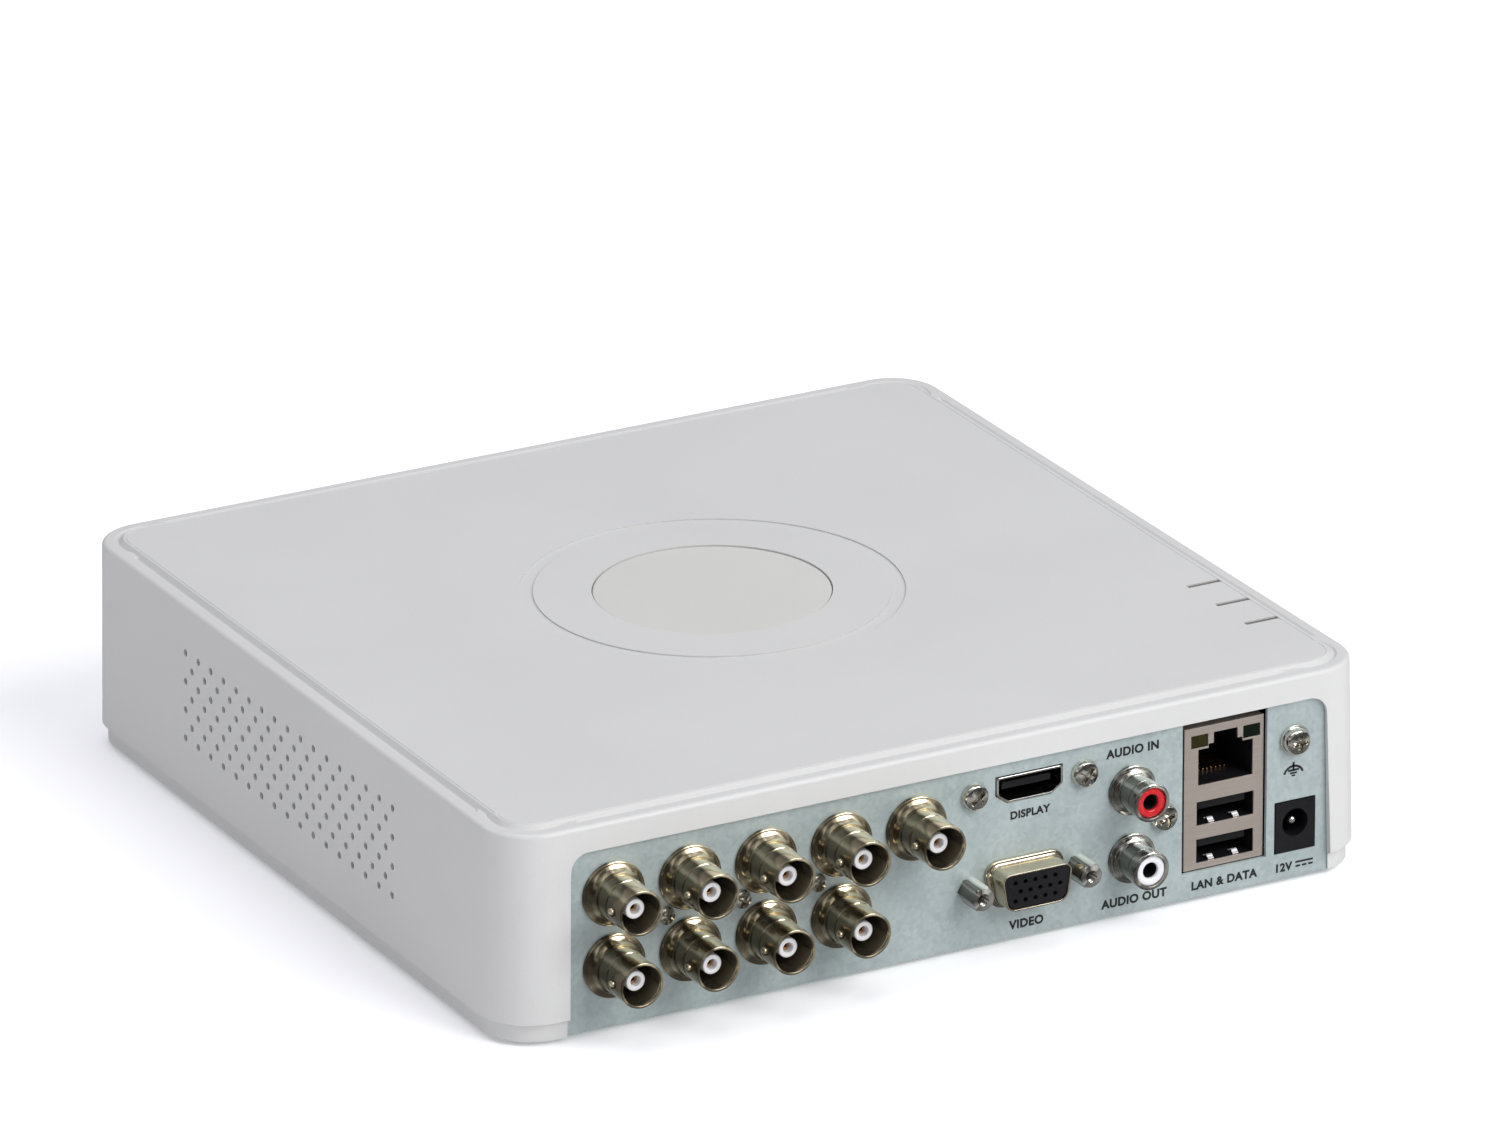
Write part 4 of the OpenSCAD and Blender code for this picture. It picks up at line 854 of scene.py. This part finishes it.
# node, material, and how far its edges are eased in millimetres
EASED = [
    ("top_cover", COVER, 0), ("light_guides", SMOKED, 0.06), ("base_chassis", ZINC, 0),
    ("rubber_feet", RUBBER, 0.2),
    ("case_screws", SCREW, 0), ("main_board", BOARD, 0.08), ("board_standoffs", BRASS, 0.1),
    ("board_screws", SCREW, 0),
    ("board_sockets", BLACK, 0.12), ("processor", CHIP, 0.15), ("heat_sink", FINS, 0.1),
    ("support_chips", CHIP, 0.12),
    ("capacitors", CANS, 0.2), ("coin_cell", CELL, 0.25), ("buzzer", BLACK, 0.3),
    ("status_lights", WHITE, 0.1),
    ("bnc_housings", BLACK, 0), ("display_tongue", BLACK, 0.08), ("vga_insert", BLACK, 0.05),
    ("audio_contacts", GOLD, 0),
    ("audio_housing", BLACK, 0), ("lan_usb_shield", SHIELD, 0.05), ("lan_usb_insert", BLACK, 0),
    ("lan_usb_contacts", GOLD, 0.04),
    ("link_lights", LENSES, 0.1), ("power_jack_body", BLACK, 0), ("power_jack_pin", BRIGHT_NICKEL, 0),
    ("ground_washer", BRIGHT_NICKEL, 0.08), ("drive_case", CASTING, 0), ("drive_lid", LID, 0.12),
    ("drive_platters", MIRROR, 0.1),
    ("drive_arm", CASTING, 0), ("drive_board", BOARD, 0.1), ("drive_screws", SCREW, 0),
    ("drive_data_cable", RED_LEAD, 0.2),
    ("drive_power_cable", BLACK_LEAD, 0.2), ("fan_frame", BLACK, 0), ("fan_rotor", BLACK, 0),
    ("fan_lead", BLACK_LEAD, 0)]
for node, material, edge in EASED:
    eased(node, material, edge)

# ---- printed words and signs ----

PRINT_THICK = 0.03
STROKE_GAIN = 0.042       # each stroke is this much bolder, as a share of the letters' size
LETTER_SPACE = 1.08
CURVE_EXTRUDE = 0.01      # before the print's own thickness is set
SOLE_TO_ZERO = 1.0        # heights on the panel are measured from this far above the feet's soles
FOOT = -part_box("rubber_feet")[0][2] / MM + SOLE_TO_ZERO


def on_print(u, h):
    """A place on the panel, u across from the middle and h up."""
    return np.array([-u, PANEL_Y, FOOT + h])


def panel_words(name, words, u, h, tall):
    """Words printed on the panel, centred at u and h: a text made a mesh, scaled to its capital
    height and laid a hair's breadth thick on the panel."""
    curve = bpy.data.curves.new(name, "FONT")
    curve.body = words
    curve.align_x = "CENTER"
    curve.extrude = CURVE_EXTRUDE
    curve.offset = STROKE_GAIN
    curve.space_character = LETTER_SPACE
    holder = bpy.data.objects.new(name + "_text", curve)
    bpy.context.collection.objects.link(holder)
    bpy.context.view_layer.update()
    mesh = bpy.data.meshes.new_from_object(holder)
    bpy.data.objects.remove(holder)
    points = np.empty(len(mesh.vertices) * 3)
    mesh.vertices.foreach_get("co", points)
    points = points.reshape(-1, 3)
    size = tall / np.ptp(points[:, 1])
    points[:, :2] *= size
    points[:, 1] -= tall / 2
    points[:, 2] = np.where(points[:, 2] > 0, PRINT_THICK, 0.0)
    mesh.vertices.foreach_set("co", (placed(points, on_print(u, h)) * MM).ravel())
    return finished(name, mesh, INK, "base", (), 30)


def panel_mark(name, strokes, u, h):
    """A sign made of strokes: each stroke is an outline of (x, y, r) corners, laid flat."""
    grids = []
    for stroke in strokes:
        path = rounded(stroke)
        middle = path.mean(axis=0)
        rings = [(middle, 0.0), (path, 0.0), (path, PRINT_THICK), (middle, PRINT_THICK)]
        grid = np.stack([np.column_stack([np.broadcast_to(flat, path.shape), np.full(len(path), level)])
                         for flat, level in rings], axis=1)
        grids.append(placed(grid, on_print(u, h)))
    return piece(name, grids, INK, "base", closed=False, sharp=30)


def bar(x, y, length, thick, ease=0.02):
    """A straight stroke about x and y."""
    w, t = length / 2, thick / 2
    return [(x - w, y - t, ease), (x + w, y - t, ease), (x + w, y + t, ease), (x - w, y + t, ease)]


def arch(outer, inner, drop, steps=16):
    """A half ring of short strokes between two ellipses, each given by its half width and height."""
    turn = np.linspace(0.06 * np.pi, 0.94 * np.pi, steps + 1)
    rims = [[(w * math.cos(a), h * math.sin(a) - drop, 0) for a in turn] for w, h in (outer, inner)]
    return [[rims[0][i], rims[0][i + 1], rims[1][i + 1], rims[1][i]] for i in range(steps)]


# piece, words, place across, height, capital height
PANEL_WORDS = [
    ("words_audio_in", "AUDIO IN", 44.0, 35.7, 2.0), ("words_audio_out", "AUDIO OUT", 44.5, 2.95, 2.0),
    ("words_display", "DISPLAY", 20.1, 26.9, 1.8), ("words_video", "VIDEO", 19.4, 2.95, 2.0),
    ("words_network", "LAN & DATA", 65.6, 2.75, 1.95), ("words_supply", "12V", 79.6, 2.55, 1.9)]
for row in PANEL_WORDS:
    panel_words(*row)

DASHES = [bar(i * 1.5, -0.45, 1.1, 0.42) for i in (-1, 0, 1)]
panel_mark("sign_direct_current", [bar(0, 0.45, 4.2, 0.42)] + DASHES, 84.6, 2.55)
EARTH_BARS = [bar(0, 0.8, 0.5, 1.9), bar(0, 0.0, 2.6, 0.46), bar(0, -0.62, 1.7, 0.38),
              bar(0, -1.18, 0.8, 0.36)]
panel_mark("sign_earth", arch((2.45, 2.15), (1.95, 1.65), 1.0) + EARTH_BARS, 81.8, 23.5)

# ---- floor, light and camera ----

ROOM_COLOUR = (0.37, 0.37, 0.44, 1)       # cooler on the shaded side
REFLECTED_BANDS = [(-1.0, 0.10), (-0.55, 0.20), (-0.30, 0.55), (-0.12, 0.16), (0.05, 0.05), (0.22, 0.10),
                   (0.36, 0.95), (0.50, 0.30), (0.62, 0.06), (0.85, 0.55), (1.0, 0.35)]
VIEW_AZIMUTH, VIEW_ELEVATION, VIEW_ROLL = 151.8, 21.57, -0.31    # degrees
VIEW_DISTANCE, VIEW_LENS = 2.501, 289.8                           # metres, millimetres on a 36 mm sensor
AIM_RIGHT, AIM_UP, AIM_HIGH = 0.0065, 0.0248, 0.02375             # metres from the case's middle
FLOOR_REACH, FLOOR_GAP = 6.0, 0.00002                             # metres
FLOOR_GLOW = 0.2
LIGHT_AIM = Vector((0, 0, 0.02))
# name, place in metres, side in metres, power in watts
LIGHTS = [("key_rear_right", (-0.75, 1.45, 1.35), 1.4, 33), ("top_fill", (0.3, -0.2, 1.7), 1.5, 11.5)]


def stage_floor():
    """A plain white sheet just under the feet, faintly lit from within and unseen in reflections."""
    mesh = bpy.data.meshes.new("floor")
    reach = FLOOR_REACH
    level = cad_low[2] - FLOOR_GAP
    mesh.from_pydata([(-reach, -reach, level), (reach, -reach, level), (reach, reach, level),
                      (-reach, reach, level)],
                     [], [(0, 1, 2, 3)])
    floor = bpy.data.objects.new("floor", mesh)
    bpy.context.collection.objects.link(floor)
    paper = cast_material("floor_paper", grey(0.93), grey(0.95), (0.9, 1.0), patch=3.0)
    glow = paper.node_tree.nodes["Principled BSDF"]
    glow.inputs["Emission Color"].default_value = grey(1.0)
    glow.inputs["Emission Strength"].default_value = FLOOR_GLOW
    mesh.materials.append(paper)
    floor.visible_glossy = False


def soft_light(name, place, size, power):
    """A square soft box aimed at the middle of the case."""
    data = bpy.data.lights.new(name, "AREA")
    data.shape = "RECTANGLE"
    data.size = size
    data.size_y = size
    data.energy = power
    lamp = bpy.data.objects.new(name, data)
    lamp.location = place
    lamp.rotation_euler = (LIGHT_AIM - Vector(place)).to_track_quat("-Z", "Y").to_euler()
    bpy.context.collection.objects.link(lamp)


def studio():
    """White to the camera, an even pale room to matt surfaces, and to glossy ones a dark room with
    bright bands: each ray's direction picks the level from a ramp by its height."""
    world = bpy.data.worlds.new("studio")
    bpy.context.scene.world = world
    world.use_nodes = True
    tree = world.node_tree
    background = tree.nodes["Background"]
    path = tree.nodes.new("ShaderNodeLightPath")
    split = tree.nodes.new("ShaderNodeSeparateXYZ")
    tree.links.new(tree.nodes.new("ShaderNodeTexCoord").outputs["Generated"], split.inputs["Vector"])
    ramp = tree.nodes.new("ShaderNodeValToRGB")
    tree.links.new(spread(tree, split.outputs["Z"], -1.0, 1.0), ramp.inputs["Fac"])
    set_ramp(ramp, [(height / 2 + 0.5, level) for height, level in REFLECTED_BANDS])
    matt = tint(tree, path.outputs["Is Glossy Ray"], ROOM_COLOUR, ramp.outputs["Color"])
    tree.links.new(tint(tree, path.outputs["Is Camera Ray"], matt, grey(1.0)), background.inputs["Color"])
    background.inputs["Strength"].default_value = 1.0
    for light in LIGHTS:
        soft_light(*light)
    bpy.context.scene.view_settings.view_transform = "Standard"


def fitted_camera():
    """The camera looks at the case's middle from the rear, moved sideways and up in its own plane."""
    azimuth, elevation, roll = (math.radians(v) for v in (VIEW_AZIMUTH, VIEW_ELEVATION, VIEW_ROLL))
    back = Vector((math.sin(azimuth) * math.cos(elevation), -math.cos(azimuth) * math.cos(elevation),
                   math.sin(elevation)))
    across = (-back).cross(Vector((0, 0, 1))).normalized()
    above = across.cross(-back)
    right = across * math.cos(roll) + above * math.sin(roll)
    up = above * math.cos(roll) - across * math.sin(roll)
    cover_low, cover_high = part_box("top_cover")
    middle = Vector((0, (cover_low[1] + cover_high[1]) / 2, AIM_HIGH))
    data = bpy.data.cameras.new("view")
    data.sensor_width = 36
    data.lens = VIEW_LENS
    data.clip_end = 100
    camera = bpy.data.objects.new("view", data)
    bpy.context.collection.objects.link(camera)
    camera.rotation_mode = "QUATERNION"
    from_axes = [[right[i], up[i], back[i]] for i in range(3)]
    camera.rotation_quaternion = Matrix(from_axes).to_quaternion()
    camera.location = middle + back * VIEW_DISTANCE + right * AIM_RIGHT + up * AIM_UP
    bpy.context.scene.camera = camera


stage_floor()
studio()
fitted_camera()
